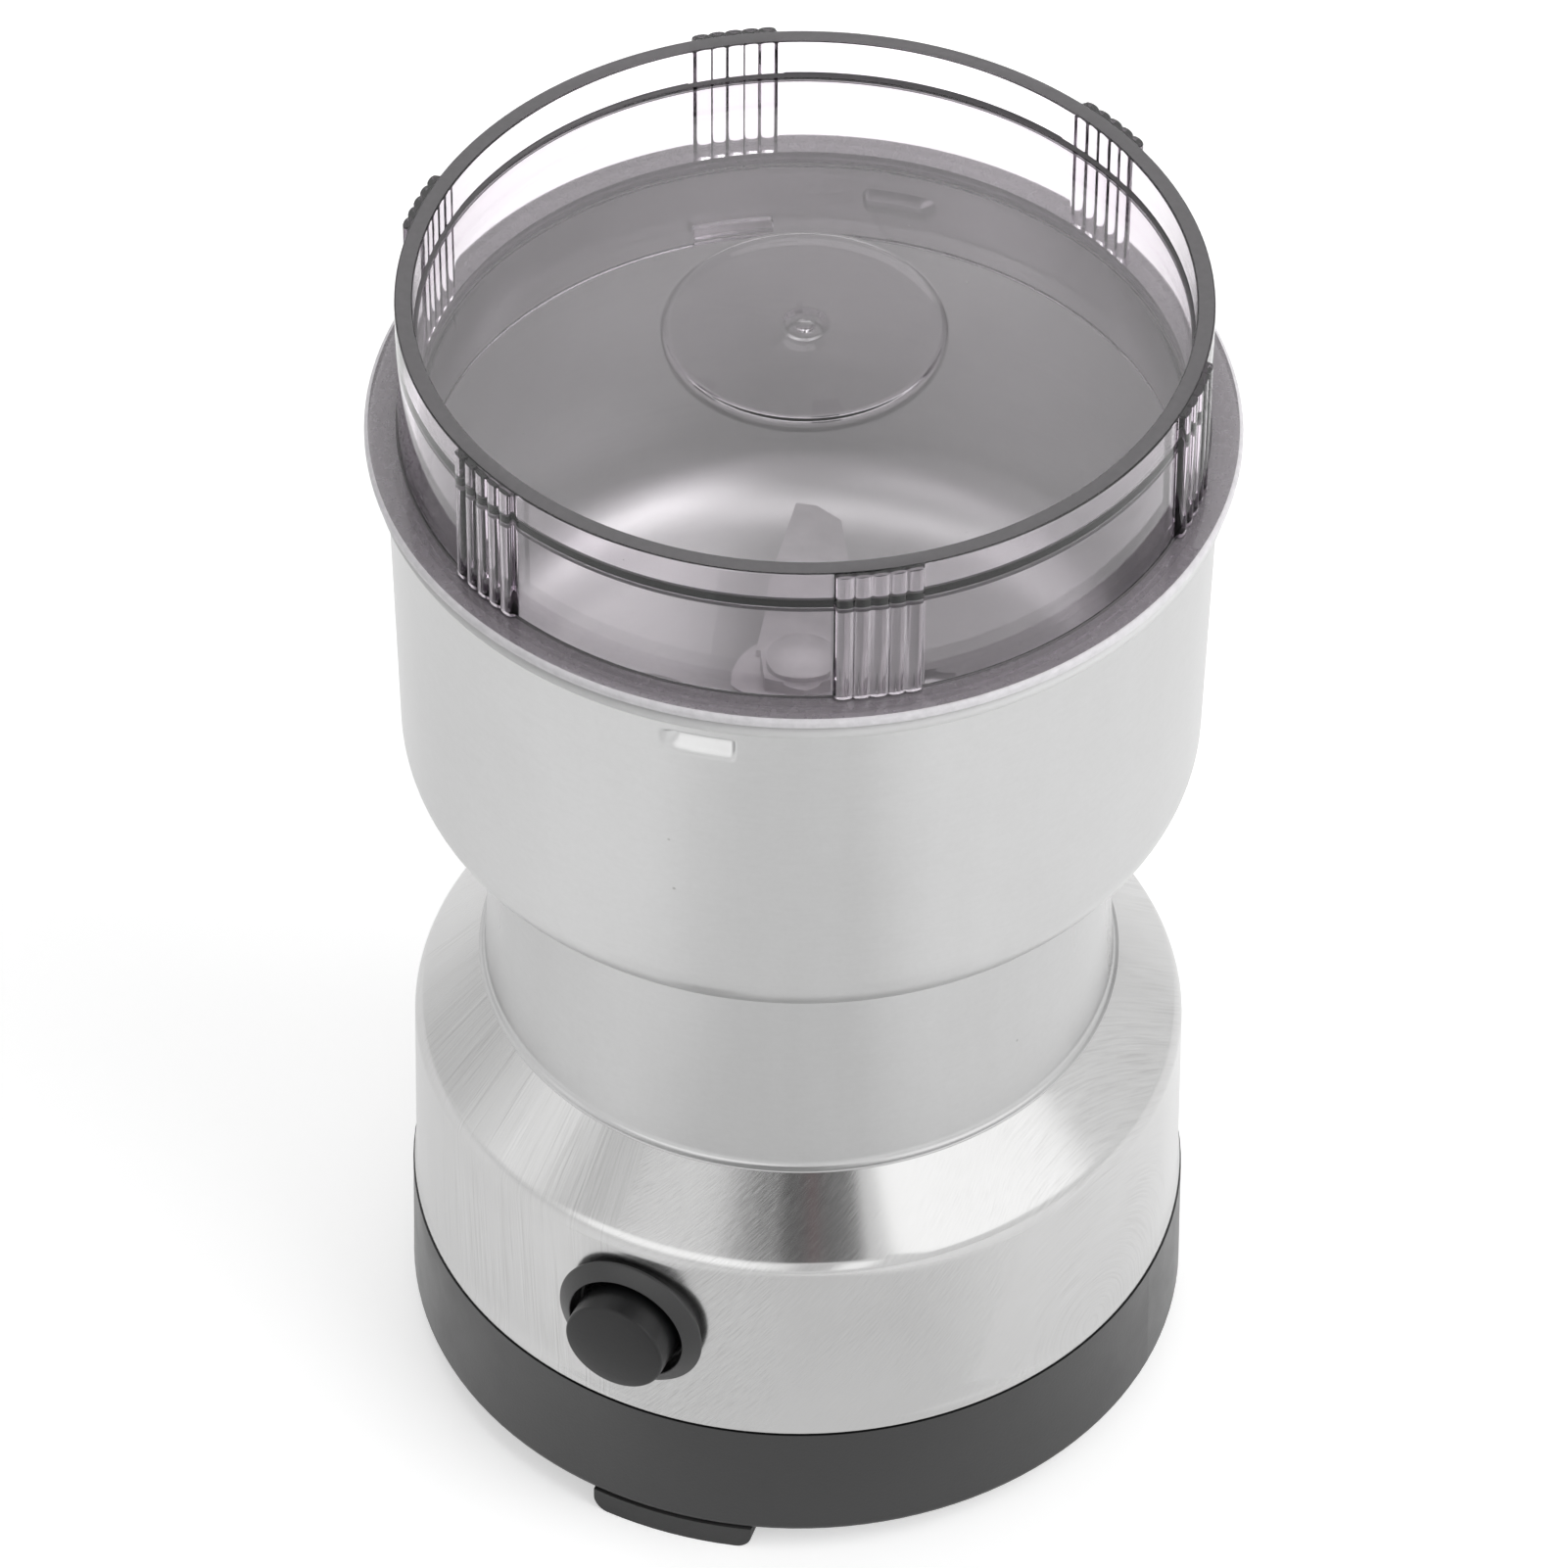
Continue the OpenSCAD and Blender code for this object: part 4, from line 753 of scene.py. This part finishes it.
def make_bezel(finish):
    """The switch's bezel: a raised ring about a dished face, and the barrel behind it."""
    hole, ring_in, ring_round, edge_round = CAP_R + 0.2, BEZEL_R - RING_W, 0.15, 0.25
    outline = [(hole, -BARREL_L + 1.6), (hole, -DISH - 0.3), (CAP_R + 0.5, -DISH)]
    outline += [(ring_in - 0.2, -DISH), (ring_in, -DISH + 0.2), (ring_in, LIP - ring_round)]
    outline += arc(ring_in + ring_round, LIP - ring_round, ring_round, 180, 60, 5)
    outline += arc(BEZEL_R - edge_round, -edge_round, edge_round, 60, -60, 8)
    outline += [(BEZEL_R - 0.3, -0.55), (BARREL_R + 0.04, -0.6), (BARREL_R, -2.4)]
    outline += [(BARREL_R, -BARREL_L), (hole, -BARREL_L), outline[0]]
    bezel = turned("switch_bezel", outline, 160, sharp=35)
    lie_forward(bezel, BEZEL_Y)
    wear(bezel, [finish], "housing", "switch_housing")


def make_cap(finish):
    """The push cap: slightly domed, and hollow at the back."""
    edge_round = 0.4
    outline = [(AXIS_R, 0.45), (2.0, 0.42), (3.6, 0.33), (4.9, 0.21)]
    outline += arc(CAP_R - edge_round, -0.33, edge_round, 82, 0, 6)
    outline += [(CAP_R, -5), (CAP_R, -CAP_L), (CAP_R - CAP_WALL, -CAP_L)]
    outline += [(CAP_R - CAP_WALL, -CAP_T), (AXIS_R, -CAP_T)]
    cap = turned("push_cap", outline, 144, solid=True, sharp=35)
    lie_forward(cap, CAP_Y)
    wear(cap, [finish], "button", "button_cap")


def make_spring(finish):
    """The switch's return spring, which the real cap squashes as it goes in; here it is a rigid
    coil at its rest length.
    """
    length = SPRING_Y1 - SPRING_Y0
    wire_sides, coil_steps = 10, 24
    begin()
    bpy.ops.mesh.primitive_circle_add(vertices=wire_sides, radius=SPRING_WIRE_R * MM)
    spring = bpy.context.object
    spring.name = "return_spring"
    place = Matrix.Translation((SPRING_R * MM, 0, (SPRING_WIRE_R - length) * MM))
    spring.data.transform(place @ Matrix.Rotation(pi / 2, 4, "X"))
    pitch = (length - 2 * SPRING_WIRE_R) / SPRING_TURNS
    apply(
        spring, "SCREW", angle=2 * pi, screw_offset=pitch * MM, iterations=SPRING_TURNS,
        steps=coil_steps, render_steps=coil_steps)
    edit(spring)
    bpy.ops.mesh.select_all(action="SELECT")
    bpy.ops.mesh.fill_holes(sides=0)
    bpy.ops.mesh.normals_make_consistent(inside=False)
    smooth(spring)
    lie_forward(spring, SPRING_Y0)
    wear(spring, [finish], "housing", "button_spring")
    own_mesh(spring)


# Surroundings

def make_floor():
    """A white floor that keeps the object's shadow, and is white itself to the camera."""
    begin()
    bpy.ops.mesh.primitive_plane_add(size=FLOOR_SIZE, location=(0, 0, 0))
    floor = bpy.context.object
    floor.name = "floor"
    f = Finish("floor_white")
    camera, through, mirrored = f.rays("Camera", "Transmission", "Glossy")
    strength = camera.math("MAXIMUM", through) * FLOOR_SEEN + mirrored * FLOOR_MIRRORED
    paint = f.node("BsdfDiffuse", {"Color": grey(0.8)})
    glow = f.node("Emission", {"Color": grey(1), "Strength": strength})
    floor.data.materials.append(f.close(Surface=f.node("AddShader", {0: paint, 1: glow})))


def make_sky():
    """A plain white sky that lights the object less than it shows."""
    f = Finish("studio", "worlds")
    camera, through, mirrored = f.rays("Camera", "Transmission", "Glossy")
    shown = camera.math("MAXIMUM", through).math("MAXIMUM", mirrored)
    strength = f.remap(shown, 0.0, 1.0, SKY_LIGHT, 1.0, smooth=False)
    light = f.node("Background", {"Color": grey(1), "Strength": strength})
    f.node("OutputWorld", {"Surface": light})
    scene.world = f.owner


def seen_from(azimuth, elevation, distance):
    """A place round the object, by its direction from the button's side."""
    azimuth, elevation = radians(azimuth), radians(elevation)
    return Vector((
        distance * sin(azimuth) * cos(elevation), -distance * cos(azimuth) * cos(elevation),
        CARD_AIM_Z + distance * sin(elevation)))


def add_lamp(name, azimuth, elevation, distance, size, power):
    """A round soft lamp that no piece mirrors."""
    data = bpy.data.lights.new(name, "AREA")
    data.shape = "DISK"
    data.size = size
    data.energy = power
    lamp = bpy.data.objects.new(name, data)
    lamp.location = seen_from(azimuth, elevation, distance)
    ahead = Vector((0, 0, LAMP_AIM_Z)) - lamp.location
    lamp.rotation_euler = ahead.to_track_quat("-Z", "Y").to_euler()
    lamp.visible_glossy = False
    scene.collection.objects.link(lamp)


def add_card(name, azimuth, elevation, distance, width, height, level):
    """A card that only mirrors and clear plastic show; its width and height are angles."""
    place = seen_from(azimuth, elevation, distance)
    turn = (place - Vector((0, 0, CARD_AIM_Z))).to_track_quat("Z", "Y").to_euler()
    width, height = (2 * distance * tan(radians(angle / 2)) for angle in (width, height))
    lay_card(name, place, turn, width, height, level)


def add_floor_card(name, azimuth, near, far, width, level):
    """A card that lies on the floor, from near to far along its direction."""
    middle, azimuth = (near + far) / 2, radians(azimuth)
    place = (middle * sin(azimuth), -middle * cos(azimuth), CARD_LIFT)
    lay_card(name, place, (0, 0, azimuth), width, far - near, level)


def lay_card(name, place, turn, width, height, level):
    """The card itself: one level, or stops of levels and colours across its width."""
    begin()
    bpy.ops.mesh.primitive_plane_add(size=1, location=place, rotation=turn)
    card = bpy.context.object
    card.name = name
    card.scale = (width, height, 1)
    f = Finish(name)
    light = {"Strength": level}
    if isinstance(level, list):
        most = 2.0  # a ramp's colours end at 1, so they are divided by this
        across = f.split(f.place())[0] + 0.5
        stops = [
            (at, tone(shade if isinstance(shade, tuple) else grey(shade)[:3], 1 / most))
            for at, shade in level]
        light = {"Color": f.ramp(across, *stops), "Strength": most}
    card.data.materials.append(f.close(Surface=f.node("Emission", light)))
    card.visible_camera = False
    card.visible_diffuse = False
    card.visible_shadow = False


# Everything together

def main():
    """Sets the scene, makes the dressed pieces, and gives every other piece its finish."""
    add_camera()
    make_floor()
    make_sky()
    for lamp in LAMPS:
        add_lamp(*lamp)
    for card in CARDS:
        add_card(*card)
    add_floor_card(*FLOOR_CARD)

    # By the names of the source's own finishes
    finishes = {
        "brushed_steel": satin_steel("satin_steel", 0.53, 0.61, 0.32),
        "dark_plastic": moulded("pan_plastic", 0.007, 0.33, 0.07, bend=1.63),
        "button_plastic": moulded("button_plastic", 0.022, 0.36, 0.02, 0.00002),
        "foot_rubber": moulded("foot_rubber", 0.03, 0.6),
        "frame_plastic": moulded("frame_plastic", 0.55, 0.45),
        "clear_plastic": clear_plastic("clear_plastic"),
        "plain_steel": metal("plain_steel", (0.6, 0.6, 0.6), 0.35),
        "blade_steel": metal("blade_steel", (0.92, 0.9, 0.91), 0.6, 300, 0.4),
        "lamination_iron": metal("lamination_iron", (0.4, 0.4, 0.42), 0.5),
        "copper": metal("copper", (0.75, 0.38, 0.22), 0.35),
        "brass": metal("brass", (0.75, 0.58, 0.3), 0.35),
        "carbon": moulded("carbon", 0.02, 0.5),
        "seal_rubber": moulded("seal_rubber", 0.15, 0.5),
    }
    make_shell(shell_steel())
    # painted shade: the neck's greys are darker than the bowl's steel, for the shade between the
    # bowl and the shoulder
    make_neck(satin_steel("neck_steel_painted_shade", 0.48, 0.56, 0.3))
    make_bowl(finishes["brushed_steel"], inside_steel_painted_light())
    make_lid([
        # painted shade: a dark frosted grey on the rim, the disc's corner and the wall's foot
        finishes["clear_plastic"], clear_plastic("clear_rim_painted_shade", 0.75),
        # painted highlight: a near-white frost on the flange's edge
        clear_plastic("clear_edge_painted_highlight", 0.85, (0.93, 0.91, 0.94)),
        # painted shade: a mid-grey frost that dims the flange's top
        clear_plastic("clear_foot_painted_shade", 0.35, (0.6, 0.55, 0.6))])
    make_bezel(finishes["button_plastic"])
    make_cap(moulded("cap_plastic", 0.010, 0.3, 0.05, 0.00002, 1.43))
    make_spring(finishes["plain_steel"])

    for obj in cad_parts.values():
        for slot in obj.material_slots:
            slot.material = finishes[slot.material.name.split(".")[0]]


main()
